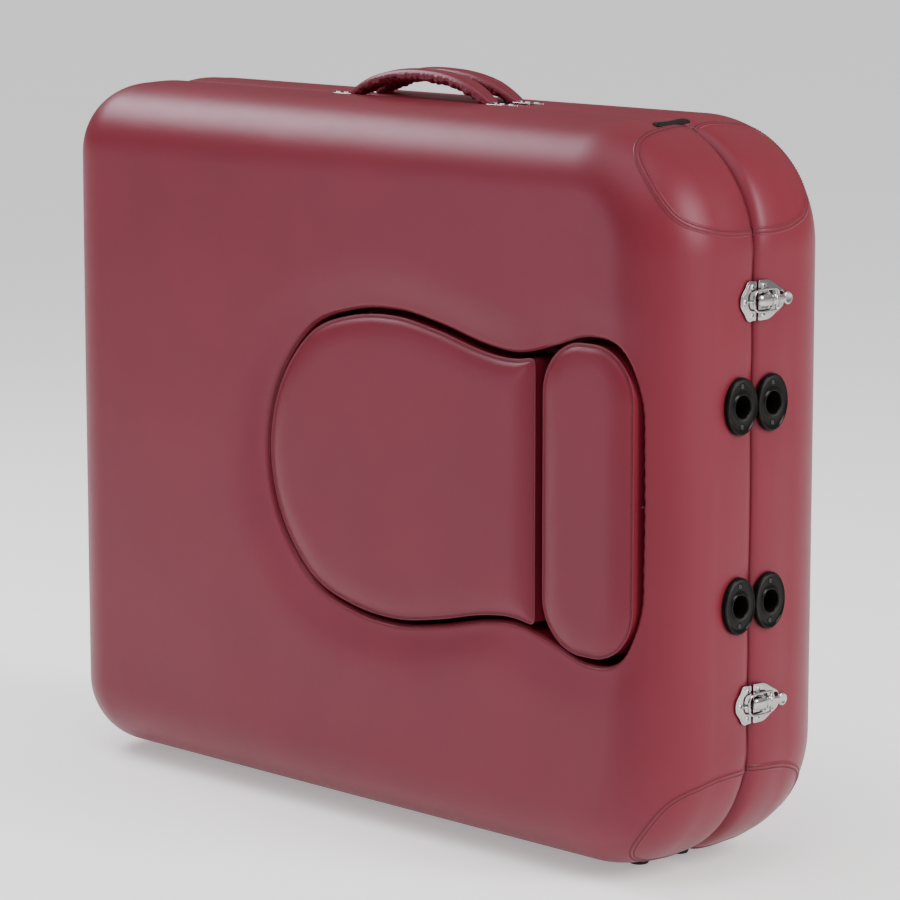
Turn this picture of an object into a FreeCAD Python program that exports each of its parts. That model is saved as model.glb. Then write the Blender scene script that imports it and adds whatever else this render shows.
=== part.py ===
"""Portable massage table, folded shut like a case and standing on its long edge.

Frame: +X runs along the folded table from the fold hinge to the latches, +Y runs across its thickness
from the head half to the foot half, +Z is up.  The parting plane is y = 0, and the floor is z = 0.
"Depth" is the distance of a thing from the parting plane, on whichever half it belongs to.
All sizes are millimetres.
"""
import FreeCAD, Part
import math
import os

import Sketcher

V = FreeCAD.Vector
Z_AXIS = V(0, 0, 1)
HEAD, FOOT = -1, 1                      # the side of the parting plane that each half lies on
HALF_NAMES = {HEAD: "head", FOOT: "foot"}

doc = FreeCAD.newDocument("massage_table")
sheet = doc.addObject("Spreadsheet::Sheet", "Dimensions")

DIMENSIONS = {
    # the case as a whole
    "case_length": 940.0, "case_width": 762.0, "half_depth": 135.0, "floor_gap": 8.0,
    "latch_corner": 130.0, "hinge_corner": 78.0, "face_round": 75.0, "parting_round": 5.0,
    "parting_gap": 1.5, "shift": 2.0,
    # upholstery
    "skin": 2.0, "padding": 12.0, "slack": 0.3,
    # wooden frame and deck
    "rail_thick": 20.0, "rail_top": 61.0, "deck_thick": 5.0, "deck_ledge": 16.0, "deck_gap": 0.2,
    # the opening and its two plugs
    "opening_rise": 5.0, "plug_gap": 7.0, "plug_board": 6.0, "plug_round": 14.0, "plug_corner": 14.0,
    "plug_seat": 0.6, "board_inset": 1.5,
    "pill_low": 302.0, "pill_high": 427.5, "pill_half": 158.5, "pill_radius": 55.0, "belly_cut": 293.5,
    # legs
    "pivot_from_end": 100.0, "pivot_depth": 48.5, "post_width": 44.0, "post_thick": 22.0,
    "post_reach": 300.0, "slat_thick": 20.0, "slat_start": 30.0, "slat_reach": 490.0,
    "head_lane": 67.0, "foot_lane": 116.0, "pivot_pin": 4.0, "running": 0.06,
    "slat_gap": 1.0, "side_play": 0.5, "stud_gap": 1.5,
    "knob_from_pivot": 270.0, "knob_radius": 19.0, "knob_high": 11.0, "bolt_radius": 4.0,
    "slot_length": 235.0, "slot_width": 9.0, "bar_from_pivot": 100.0, "bar_width": 40.0,
    "tip_high": 14.0, "bracket_sheet": 1.3,
    "brace_from_pivot": 200.0, "brace_length": 400.0, "brace_width": 20.0, "brace_thick": 5.0,
    "catch_thick": 8.0, "catch_long": 44.0,
    # fold hinge
    "hinge_out": 1.5, "knuckle_radius": 3.6, "hinge_pin": 1.8, "leaf_thick": 1.2, "leaf_wide": 30.0,
    "hinge_long": 580.0, "knuckle_count": 20.0,
    # outlets for the face cradle
    "outlet_spacing": 202.0, "outlet_depth": 22.8, "outlet_bore": 11.3, "outlet_tube": 13.5,
    "flange_tall": 29.3, "flange_wide": 22.2, "flange_thick": 5.0, "screw_radius": 2.6,
    "tube_gap": 0.3, "fit_gap": 0.1, "screw_proud": 1.2,
    # latches
    "latch_spacing": 410.0, "plate_thick": 1.5, "keeper_wide": 25.0, "keeper_high": 40.0,
    "base_wide": 40.0, "base_high": 40.0, "lever_pivot": 11.0, "lever_lift": 6.0, "lever_long": 29.0,
    "lever_wide": 12.0, "lever_thick": 2.5, "tab_radius": 6.8, "bail_pivot": 12.0, "bail_long": 33.0,
    "bail_wire": 1.2, "bail_wide": 23.0, "lever_pin": 1.6,
    # handles and feet
    "handle_half": 108.0, "handle_rise": 17.0, "handle_thick": 10.0, "handle_wide": 24.0,
    "handle_neck": 13.0, "handle_depth": 19.0, "handle_lift": 9.0, "handle_pin": 2.5,
    "handle_along": 9.0, "handle_overlap": 10.0,
    "plate_long": 34.0, "plate_wide": 20.0, "ear_thick": 3.0,
    "tab_along": 377.0, "tab_wide": 12.0, "tab_long": 48.0, "tab_thick": 2.0, "tab_depth": 50.0,
    "foot_radius": 11.0, "foot_along": 345.0, "foot_depth": 30.0,
}
for row, (alias, value) in enumerate(DIMENSIONS.items(), start=1):
    sheet.set(f"A{row}", alias)
    sheet.set(f"B{row}", str(value))
    sheet.setAlias(f"B{row}", alias)
doc.recompute()


class Sheet:
    """Reads the spreadsheet's cells as plain numbers."""

    def __getattr__(self, alias):
        return float(sheet.get(alias))


d = Sheet()
NODES = {}                              # node name: the document object that holds its shape


def cell(expression):
    """An expression over the sheet's aliases, with each alias qualified by the sheet."""
    words = expression
    for alias in sorted(DIMENSIONS, key=len, reverse=True):
        words = words.replace("@" + alias, "Dimensions." + alias)
    return words


def node(label, thing):
    """Names a finished sub-part: its label names its file."""
    thing.Label = label
    NODES[label] = thing
    return thing


# ---------------------------------------------------------------- places worked out from the sheet
MID_Z = d.floor_gap + d.case_width / 2
END_X = d.case_length / 2 - d.shift                 # the covers' latch end
HINGE_X = -d.case_length / 2 - d.shift              # the covers' hinge end
FOLD_X = HINGE_X - d.hinge_out                      # the fold hinge's axis
PIVOT_X = END_X - d.pivot_from_end
TOP_Z = d.floor_gap + d.case_width
FRAME_IN = d.skin + d.padding                       # from the cover's outside to the rails' outside
OPEN_Z = MID_Z + d.opening_rise                     # the middle of the opening and its plugs


# ---------------------------------------------------------------- building blocks
def box(label, size, corner):
    """A block bound to three expressions, with its lowest corner at a point."""
    b = doc.addObject("Part::Box", label)
    for prop, expression in zip(("Length", "Width", "Height"), size):
        b.setExpression(prop, cell(expression))
    b.Placement = FreeCAD.Placement(V(*corner), FreeCAD.Rotation())
    return b


def rod(label, radius, length, start, direction):
    """A cylinder bound to two expressions, from a point along a direction."""
    c = doc.addObject("Part::Cylinder", label)
    c.setExpression("Radius", cell(radius))
    c.setExpression("Height", cell(length))
    c.Placement = FreeCAD.Placement(V(*start), FreeCAD.Rotation(Z_AXIS, V(*direction)))
    return c


def cut(label, base, *tools):
    """base with each tool taken out of it."""
    tool = tools[0] if len(tools) == 1 else fuse(label + "_tools", *tools)
    c = doc.addObject("Part::Cut", label)
    c.Base = base
    c.Tool = tool
    return c


def fuse(label, *pieces):
    """All the pieces as one solid."""
    f = doc.addObject("Part::MultiFuse", label)
    f.Shapes = list(pieces)
    return f


def group(label, pieces):
    """Separate solids that share one node."""
    g = doc.addObject("Part::Compound", label)
    g.Links = list(pieces)
    return g


def flat(label, wire, start, direction):
    """A closed plane wire pushed straight along a direction, where neither a pad nor a primitive fits."""
    f = doc.addObject("Part::Feature", label)
    f.Shape = Part.Face(wire).extrude(V(*direction))
    f.Placement = FreeCAD.Placement(V(*start), FreeCAD.Rotation())
    return f


def loop(points):
    """A closed wire of straight runs."""
    corners = [V(*p) for p in points]
    return Part.makePolygon(corners + corners[:1])


def plane_of(body, role):
    """A body's own origin plane."""
    return next(f for f in body.Origin.OriginFeatures if f.Role == role)


def case_sketch(body, name, inset, radius_latch, radius_hinge):
    """The case's outline, drawn in by an inset: a rectangle with two corner sizes, fully constrained."""
    sk = body.newObject("Sketcher::SketchObject", name)
    sk.AttachmentSupport = [(plane_of(body, "XZ_Plane"), "")]
    sk.MapMode = "FlatFace"
    i = number(inset)
    x0, x1 = HINGE_X + i, END_X - i
    z0, z1 = d.floor_gap + i, TOP_Z - i
    rl, rh = number(radius_latch), number(radius_hinge)
    line = lambda a, b: Part.LineSegment(V(*a, 0), V(*b, 0))

    def corner(cx, cz, r, first):
        circle = Part.Circle(V(cx, cz, 0), Z_AXIS, r)
        return Part.ArcOfCircle(circle, math.radians(first), math.radians(first + 90))

    sk.addGeometry([
        line((x0 + rh, z0), (x1 - rl, z0)), corner(x1 - rl, z0 + rl, rl, 270),
        line((x1, z0 + rl), (x1, z1 - rl)), corner(x1 - rl, z1 - rl, rl, 0),
        line((x1 - rl, z1), (x0 + rh, z1)), corner(x0 + rh, z1 - rh, rh, 90),
        line((x0, z1 - rh), (x0, z0 + rh)), corner(x0 + rh, z0 + rh, rh, 180),
    ], False)
    for a in range(8):
        sk.addConstraint(Sketcher.Constraint("Tangent", a, 2, (a + 1) % 8, 1))
    for a, kind in ((0, "Horizontal"), (2, "Vertical"), (4, "Horizontal"), (6, "Vertical")):
        sk.addConstraint(Sketcher.Constraint(kind, a))
    sized = [
        (Sketcher.Constraint("Radius", 1, rl), radius_latch), (Sketcher.Constraint("Radius", 3, rl),
                                                               radius_latch),
        (Sketcher.Constraint("Radius", 5, rh), radius_hinge), (Sketcher.Constraint("Radius", 7, rh),
                                                               radius_hinge),
        (Sketcher.Constraint("DistanceX", -1, 1, 2, 1, x1), f"@case_length / 2 - @shift - ({inset})"),
        (Sketcher.Constraint("DistanceX", 6, 1, -1, 1, -x0), f"@case_length / 2 + @shift - ({inset})"),
        (Sketcher.Constraint("DistanceY", -1, 1, 0, 1, z0), f"@floor_gap + ({inset})"),
        (Sketcher.Constraint("DistanceY", -1, 1, 4, 1, z1), f"@floor_gap + @case_width - ({inset})"),
    ]
    for constraint, expression in sized:
        at = sk.addConstraint(constraint)
        sk.setExpression(f"Constraints[{at}]", cell(expression))
    return sk


def number(expression):
    """The number that an expression over the sheet comes to."""
    words = expression
    for alias in sorted(DIMENSIONS, key=len, reverse=True):
        words = words.replace("@" + alias, "(" + repr(getattr(d, alias)) + ")")
    holder = doc.addObject("App::FeaturePython", "probe")
    holder.addProperty("App::PropertyFloat", "Value")
    holder.setExpression("Value", words)
    holder.recompute()
    value = float(holder.Value)
    doc.removeObject(holder.Name)
    return value


def slab(label, side, near, far, inset="0", rounding=None, parting_rounding=None):
    """A body of the case's outline between two depths, with its face edge rounded if asked."""
    body = doc.addObject("PartDesign::Body", label)
    sk = case_sketch(body, label + "_outline", inset,
                     f"@latch_corner - ({inset})", f"@hinge_corner - ({inset})")
    sk.setExpression("AttachmentOffset.Base.z", cell(f"{-side} * ({near})"))
    pad = body.newObject("PartDesign::Pad", label + "_pad")
    pad.Profile = sk
    pad.setExpression("Length", cell(f"({far}) - ({near})"))
    pad.Reversed = side == FOOT
    sk.Visibility = False
    doc.recompute()
    tip = pad
    for depth, radius, name in ((far, rounding, "face"), (near, parting_rounding, "parting")):
        if radius is None:
            continue
        y = side * number(depth)
        edges = [f"Edge{n}" for n, e in enumerate(tip.Shape.Edges, start=1)
                 if abs(e.BoundBox.YMin - y) < 1e-3 and abs(e.BoundBox.YMax - y) < 1e-3]
        rounded = body.newObject("PartDesign::Fillet", f"{label}_{name}_round")
        rounded.Base = (tip, edges)
        rounded.setExpression("Radius", cell(radius))
        doc.recompute()
        tip = rounded
    return body


# ---------------------------------------------------------------- the opening's outline
# Half of the outline, from the round end to the straight end: distance along X and height above its middle.
OUTLINE = ((-117, 0), (-99, 76), (-48, 137.5), (17, 162), (87, 168), (152, 159), (217, 144.5), (267, 141),
           (317, 153.5), (367, 166.5), (410, 157), (434, 110), (439.5, 50))


def outline_wire(offset):
    """The opening's outline as one smooth closed curve in a plane of constant Y, grown by an offset."""
    upper = [V(x - d.shift, 0, OPEN_Z + h) for x, h in OUTLINE]
    lower = [V(p.x, 0, 2 * OPEN_Z - p.z) for p in reversed(upper[1:])]
    curve = Part.BSplineCurve()
    curve.interpolate(upper + lower, PeriodicFlag=True)
    if offset == 0:
        return Part.Wire(curve.toShape())
    first, last = curve.FirstParameter, curve.LastParameter
    moved = []
    for n in range(60):
        t = first + (last - first) * n / 60
        along = curve.tangent(t)[0]
        outward = V(-along.z, 0, along.x).normalize()
        moved.append(curve.value(t) + outward * offset)
    grown = Part.BSplineCurve()
    grown.interpolate(moved, PeriodicFlag=True)
    return Part.Wire(grown.toShape())


def column(label, side, near, far, offset):
    """The opening's outline, grown by an offset, pushed through between two depths."""
    return flat(label, outline_wire(offset), (0, side * near, 0), (0, side * (far - near), 0))


# ---------------------------------------------------------------- halves: cover, foam, deck and frame
DECK_TOP = d.rail_top + d.deck_gap + d.deck_thick


def outlet_bores(side, label, radius, start, length):
    """Cylinders along X at a half's two face-cradle outlets."""
    return [rod(f"{label}_{'low' if sign < 0 else 'high'}", radius, length,
                (start, side * d.outlet_depth, MID_Z + sign * d.outlet_spacing / 2), (1, 0, 0))
            for sign in (-1, 1)]


def upholstery(side):
    """The vinyl cover with its turned-under hem, the side padding and the foam pad."""
    h = HALF_NAMES[side]
    outer = slab(h + "_cover_blank", side, "@parting_gap", "@half_depth", "0", "@face_round",
                 "@parting_round")
    inner = slab(h + "_cover_inside", side, "@parting_gap + @skin", "@half_depth - @skin", "@skin",
                 "@face_round - @skin")
    mouth = slab(h + "_cover_mouth", side, "0", "@parting_gap + 2 * @skin",
                 "@skin + @padding + @rail_thick + 1")
    bores = outlet_bores(side, h + "_cover_hole", "@outlet_tube + @tube_gap", END_X - d.skin * 4,
                         "@skin * 8")
    foam = slab(h + "_foam_blank", side, "@rail_top / 2", "@half_depth - @skin - @slack", "@skin + @slack",
                "@face_round - @skin - @slack")
    below = slab(h + "_foam_below", side, "0", "@rail_top + @deck_thick + 0.5")
    if side == HEAD:
        lining = column("lining", side, DECK_TOP + 0.3, d.half_depth + 5, d.skin)
        hollow = cut("head_cover_hollow", inner, lining)
        hole = column("cover_hole", side, DECK_TOP - 5, d.half_depth + 5, 0)
        cover = cut("head_cover", outer, hollow, mouth, hole, *bores)
        well = column("foam_hole", side, DECK_TOP - 5, d.half_depth + 5, d.skin + d.slack)
        foam = cut("head_foam_pad", foam, below, well)
    else:
        cover = cut("foot_cover", outer, inner, mouth, *bores)
        foam = cut("foot_foam_pad", foam, below)
    node(h + "_cover", cover)
    node(h + "_foam_pad", foam)
    near = d.parting_gap + d.skin + d.slack
    node(h + "_side_padding", ring(h + "_padding", side, near, DECK_TOP, d.skin + d.slack,
                                   d.padding - 2 * d.slack, "@outlet_tube + @tube_gap"))


def ring(label, side, near, far, inset, thick, bore):
    """A frame of four strips and four bent corners that follows the case's outline, bored for the outlets."""
    x0, x1 = HINGE_X + inset, END_X - inset
    z0, z1 = d.floor_gap + inset, TOP_Z - inset
    rl, rh = d.latch_corner - inset, d.hinge_corner - inset
    y = y_block(side, near, far - near)
    deep, wall = str(far - near), str(thick)
    along = "@case_length - @latch_corner - @hinge_corner"
    pieces = [box(f"{label}_{name}", (along, deep, wall), (x0 + rh, y, z))
              for name, z in (("low", z0), ("high", z1 - thick))]
    latch_strip = box(label + "_latch_blank", (wall, deep, "@case_width - 2 * @latch_corner"),
                      (x1 - thick, y, z0 + rl))
    bores = outlet_bores(side, label + "_hole", bore, x1 - thick - 5, str(thick + 10))
    pieces.append(cut(label + "_latch", latch_strip, *bores))
    pieces.append(box(label + "_hinge", (wall, deep, "@case_width - 2 * @hinge_corner"), (x0, y, z0 + rh)))
    for name, cx, cz, r, turn in (("latch_low", x1 - rl, z0 + rl, rl, 90), ("latch_high", x1 - rl, z1 - rl,
                                                                            rl, 0),
                                  ("hinge_high", x0 + rh, z1 - rh, rh, -90), ("hinge_low", x0 + rh,
                                                                              z0 + rh, rh, 180)):
        discs = []
        for part, radius, spare in (("outer", r, 0), ("inner", r - thick, 2)):
            disc = doc.addObject("Part::Cylinder", f"{label}_{name}_{part}")
            disc.Radius = radius
            disc.setExpression("Height", f"{far - near} + {2 * spare}")
            disc.Angle = 360 if spare else 90
            spin = FreeCAD.Rotation(V(0, 1, 0), turn) * FreeCAD.Rotation(V(1, 0, 0), 90)
            disc.Placement = FreeCAD.Placement(V(cx, y + far - near + spare, cz), spin)
            discs.append(disc)
        pieces.append(cut(f"{label}_{name}", *discs))
    return group(label + "_ring", pieces)


def timber(side):
    """The plywood deck, and the rails and bent corner blocks under it."""
    h = HALF_NAMES[side]
    deck = slab(h + "_deck_blank", side, "@rail_top + @deck_gap", "@rail_top + @deck_gap + @deck_thick",
                "@skin + @padding")
    if side == HEAD:
        deck = cut("head_deck", deck, column("deck_hole", side, d.rail_top - 2, DECK_TOP + 2, -d.deck_ledge))
    node(h + "_deck", deck)
    near = d.parting_gap + d.skin + d.slack
    node(h + "_rails", ring(h + "_rails", side, near, d.rail_top, FRAME_IN, d.rail_thick,
                            "@outlet_tube + 0.1"))


# ---------------------------------------------------------------- plugs
def rounded(label, base, radius, chosen):
    """base with the edges that a test picks rounded over."""
    doc.recompute()
    f = doc.addObject("Part::Fillet", label)
    f.Base = base
    f.Edges = [(n, radius, radius) for n, e in enumerate(base.Shape.Edges, start=1) if chosen(e.BoundBox)]
    doc.recompute()
    return f


def plugs():
    """The belly plug and the chest plug: a board with a padded top each, lying on the deck's ledge."""
    near = DECK_TOP + d.plug_seat
    top = d.half_depth
    reach = 600
    for name in ("belly", "chest"):
        for part, low, high, inset in (("board", near, near + d.plug_board, d.board_inset),
                                       ("cushion", near + d.plug_board + 0.1, top, 0)):
            label = f"{name}_plug_{part}"
            if name == "belly":
                blank = column(label + "_blank", HEAD, low, high, -d.plug_gap - inset)
                side = d.belly_cut - inset - d.shift
                keep = box(label + "_keep", (str(reach), "200", str(reach)),
                           (side - reach, -200, OPEN_Z - reach / 2))
                whole = doc.addObject("Part::Common", label + "_whole")
                whole.Base, whole.Tool = blank, keep
                piece = rounded(label + "_corners", whole, d.plug_corner - inset,
                                lambda b: b.XLength + b.ZLength < 1e-3)
            else:
                piece = pill(label + "_shape", low, high, inset)
            if part == "cushion":
                piece = rounded(label + "_edge", piece, d.plug_round,
                                lambda b: b.YLength < 1e-3 and abs(b.YMin + top) < 1e-3)
            node(label, piece)


def pill(label, low, high, inset):
    """A rounded rectangle pushed along Y, drawn in a sketch and padded."""
    body = doc.addObject("PartDesign::Body", label)
    sk = body.newObject("Sketcher::SketchObject", label + "_outline")
    sk.AttachmentSupport = [(plane_of(body, "XZ_Plane"), "")]
    sk.MapMode = "FlatFace"
    r = d.pill_radius - inset
    x0, x1 = d.pill_low + inset - d.shift, d.pill_high - inset - d.shift
    z0, z1 = OPEN_Z - d.pill_half + inset, OPEN_Z + d.pill_half - inset
    corners = [((x1 - r, z0 + r), 270), ((x1 - r, z1 - r), 0), ((x0 + r, z1 - r), 90),
               ((x0 + r, z0 + r), 180)]
    ends = [((x0 + r, z0), (x1 - r, z0)), ((x1, z0 + r), (x1, z1 - r)), ((x1 - r, z1), (x0 + r, z1)),
            ((x0, z1 - r), (x0, z0 + r))]
    for (a, b), ((cx, cz), first) in zip(ends, corners):
        sk.addGeometry(Part.LineSegment(V(*a, 0), V(*b, 0)), False)
        circle = Part.Circle(V(cx, cz, 0), Z_AXIS, r)
        sk.addGeometry(Part.ArcOfCircle(circle, math.radians(first), math.radians(first + 90)), False)
    for a in range(8):
        sk.addConstraint(Sketcher.Constraint("Tangent", a, 2, (a + 1) % 8, 1))
    for a, kind in ((0, "Horizontal"), (2, "Vertical"), (4, "Horizontal"), (6, "Vertical")):
        sk.addConstraint(Sketcher.Constraint(kind, a))
    for a in (3, 5, 7):
        sk.addConstraint(Sketcher.Constraint("Equal", 1, a))
    edge = f"({inset})"
    sized = [
        (Sketcher.Constraint("Radius", 1, r), f"@pill_radius - {edge}"),
        (Sketcher.Constraint("DistanceX", -1, 1, 2, 1, x1), f"@pill_high - {edge} - @shift"),
        (Sketcher.Constraint("DistanceX", -1, 1, 6, 1, x0), f"@pill_low + {edge} - @shift"),
        (Sketcher.Constraint("DistanceY", -1, 1, 0, 1, z0),
         f"@floor_gap + @case_width / 2 - @pill_half + {edge}"),
        (Sketcher.Constraint("DistanceY", -1, 1, 4, 1, z1),
         f"@floor_gap + @case_width / 2 + @pill_half - {edge}"),
    ]
    for constraint, expression in sized:
        at = sk.addConstraint(constraint)
        sk.setExpression(f"Constraints[{at}]", cell(expression))
    sk.AttachmentOffset = FreeCAD.Placement(V(0, 0, low), FreeCAD.Rotation())
    pad = body.newObject("PartDesign::Pad", label + "_pad")
    pad.Profile = sk
    pad.Length = high - low
    sk.Visibility = False
    return body


# ---------------------------------------------------------------- legs
def lanes(side):
    """The lowest Z of the post at each end of a half's leg frame."""
    lane = d.floor_gap + (d.head_lane if side == HEAD else d.foot_lane) - 8
    return {"low": lane, "high": 2 * MID_Z - lane - d.post_width}


def y_block(side, depth, thick):
    """The lowest Y of a block that starts at a depth and goes deeper by its thickness."""
    return depth if side == FOOT else -depth - thick


def leg_set(side):
    """A half's leg frame: hinged posts with a crossbar, sliding slats with rubber tips, knobs and braces."""
    h = HALF_NAMES[side]
    post_near = d.pivot_depth - d.post_thick / 2
    slat_near = post_near - d.slat_gap - d.slat_thick
    knob_near = slat_near - d.side_play - d.knob_high
    knob_x = PIVOT_X - d.knob_from_pivot
    y_pivot = side * d.pivot_depth
    posts, pins, brackets, brace_pins, braces, catches = [], [], [], [], [], []
    for end, z in lanes(side).items():
        tag = f"{h}_{end}"
        inboard = z + d.post_width if end == "low" else z        # the face towards the other post
        sign = 1 if end == "low" else -1
        blank = box(tag + "_post_blank", ("@post_reach", "@post_thick", "@post_width"),
                    (PIVOT_X - d.post_reach, y_block(side, post_near, d.post_thick), z))
        head = rod(tag + "_post_head", "@post_thick / 2", "@post_width", (PIVOT_X, y_pivot, z), (0, 0, 1))
        bore = rod(tag + "_post_bore", "@pivot_pin + @running", "@post_width + 4", (PIVOT_X, y_pivot, z - 2),
                   (0, 0, 1))
        bolt_hole = rod(tag + "_bolt_hole", "@bolt_radius + @running", "@post_thick + 4",
                        (knob_x, side * (post_near - 2), z + d.post_width / 2), (0, side, 0))
        brace_hole = rod(tag + "_brace_hole", "@pivot_pin", "16",
                         (PIVOT_X - d.brace_from_pivot, y_pivot, inboard - sign * 14), (0, 0, sign))
        posts.append(cut(tag + "_post", fuse(tag + "_post_body", blank, head), bore, bolt_hole, brace_hole))

        pins.append(rod(tag + "_pivot_pin", "@pivot_pin", "@post_width + 8", (PIVOT_X, y_pivot, z - 4),
                        (0, 0, 1)))
        base_near = d.rail_top - d.fit_gap - d.bracket_sheet
        sheet_wide = "@post_width + 2 * (@bracket_sheet + @side_play)"
        plate = box(tag + "_bracket_plate", ("@post_thick + 10", "@bracket_sheet", sheet_wide),
                    (PIVOT_X - d.post_thick / 2 - 5, y_block(side, base_near, d.bracket_sheet),
                     z - d.side_play - d.bracket_sheet))
        cheeks = [box(f"{tag}_bracket_cheek_{n}", ("@post_thick", "@post_thick / 2 + 8", "@bracket_sheet"),
                      (PIVOT_X - d.post_thick / 2,
                       y_block(side, base_near - d.post_thick / 2 - 8, d.post_thick / 2 + 8), at))
                  for n, at in enumerate((z - d.side_play - d.bracket_sheet,
                                          z + d.post_width + d.side_play))]
        eye = rod(tag + "_bracket_eye", "@pivot_pin", "@post_width + 12", (PIVOT_X, y_pivot, z - 6),
                  (0, 0, 1))
        brackets.append(cut(tag + "_bracket", fuse(tag + "_bracket_body", plate, *cheeks), eye))

        brace_near = d.pivot_depth - d.brace_width / 2
        brace_z = inboard + sign * 2 if end == "low" else inboard - 2 - d.brace_thick
        brace_x = PIVOT_X - d.brace_from_pivot
        strap = box(tag + "_brace_strap", ("@brace_length", "@brace_width", "@brace_thick"),
                    (brace_x - d.brace_length, y_block(side, brace_near, d.brace_width), brace_z))
        ends = [rod(f"{tag}_brace_end_{n}", "@brace_width / 2", "@brace_thick", (x, y_pivot, brace_z),
                    (0, 0, 1))
                for n, x in enumerate((brace_x, brace_x - d.brace_length))]
        holes = [rod(f"{tag}_brace_eye_{n}", "@pivot_pin + @running", "@brace_thick + 4",
                     (x, y_pivot, brace_z - 2),
                     (0, 0, 1)) for n, x in enumerate((brace_x, brace_x - d.brace_length))]
        braces.append(cut(tag + "_brace", fuse(tag + "_brace_body", strap, *ends), *holes))
        brace_pins.append(rod(tag + "_brace_pin", "@pivot_pin", "14 + @brace_thick + 4",
                              (brace_x, y_pivot, inboard - sign * 13), (0, 0, sign)))
        reach = math.sqrt(d.brace_length ** 2 - d.brace_from_pivot ** 2)
        catch_z = brace_z - d.stud_gap - d.catch_thick
        if end == "low":
            catch_z = brace_z + d.brace_thick + d.stud_gap
        floor_near = d.pivot_depth + d.pivot_pin + d.side_play
        base_far = d.rail_top - d.fit_gap
        catches.append(box(tag + "_catch_base", ("@catch_long", str(base_far - floor_near), "@catch_thick"),
                           (PIVOT_X - reach - d.catch_long / 2,
                            y_block(side, floor_near, base_far - floor_near),
                            catch_z)))
        wall_near = d.pivot_depth - 7
        catches.append(box(tag + "_catch_wall", ("@catch_long / 2 - @pivot_pin - @side_play",
                                                 str(floor_near - wall_near),
                                                 "@catch_thick"),
                           (PIVOT_X - reach + d.pivot_pin + d.side_play,
                            y_block(side, wall_near, floor_near - wall_near),
                            catch_z)))
        stud_z = brace_z if end == "low" else brace_z + d.brace_thick
        braces.append(rod(tag + "_brace_stud", "@pivot_pin", "@brace_thick + @stud_gap + @catch_thick",
                          (brace_x - d.brace_length, y_pivot, stud_z), (0, 0, sign)))

        slat = box(tag + "_slat_blank", ("@slat_reach - @slat_start", "@slat_thick", "@post_width"),
                   (PIVOT_X - d.slat_reach, y_block(side, slat_near, d.slat_thick), z))
        slot = box(tag + "_slat_slot", ("@slot_length", "@slat_thick + 4", "@slot_width"),
                   (knob_x - d.slot_width / 2, y_block(side, slat_near - 2, d.slat_thick + 4),
                    z + (d.post_width - d.slot_width) / 2))
        node(f"{h}_slat_{end}", cut(f"{h}_slat_{end}", slat, slot))
        tip = box(tag + "_tip_blank", ("@tip_high", "@slat_thick + 1", "@post_width + 1"),
                  (PIVOT_X - d.slat_reach - d.tip_high, y_block(side, slat_near, d.slat_thick + 1), z - 0.5))
        node(f"{h}_leg_tip_{end}", tip)

        y_knob = side * knob_near
        knob_z = z + d.post_width / 2
        disc = rod(tag + "_knob_disc", "@knob_radius * 0.72", "@knob_high", (knob_x, y_knob, knob_z),
                   (0, side, 0))
        lobes = []
        for n in range(5):
            a = 2 * math.pi * n / 5
            at = (knob_x + 0.68 * d.knob_radius * math.cos(a), y_knob,
                  knob_z + 0.68 * d.knob_radius * math.sin(a))
            lobes.append(rod(f"{tag}_knob_lobe_{n}", "@knob_radius * 0.32", "@knob_high", at, (0, side, 0)))
        shank = rod(tag + "_knob_shank", "@bolt_radius", "@knob_high + @slat_thick + @post_thick",
                    (knob_x, y_knob, knob_z), (0, side, 0))
        node(f"{h}_knob_{end}", fuse(f"{h}_knob_{end}", disc, *lobes, shank))
    low, high = lanes(side)["low"], lanes(side)["high"]
    bar = box(h + "_crossbar", ("@bar_width", "@post_thick", "@bar_width"),
              (PIVOT_X - d.bar_from_pivot - d.bar_width / 2, y_block(side, post_near, d.post_thick),
               low + d.post_width))
    bar.Height = high - low - d.post_width
    node(h + "_leg_frame", group(h + "_leg_frame", [*posts, bar]))
    node(h + "_brace_pins", group(h + "_brace_pins", brace_pins))
    node(h + "_leg_brackets", group(h + "_leg_brackets", [*brackets, *pins]))
    node(h + "_braces", group(h + "_braces", braces))
    node(h + "_brace_catches", group(h + "_brace_catches", catches))


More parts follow.
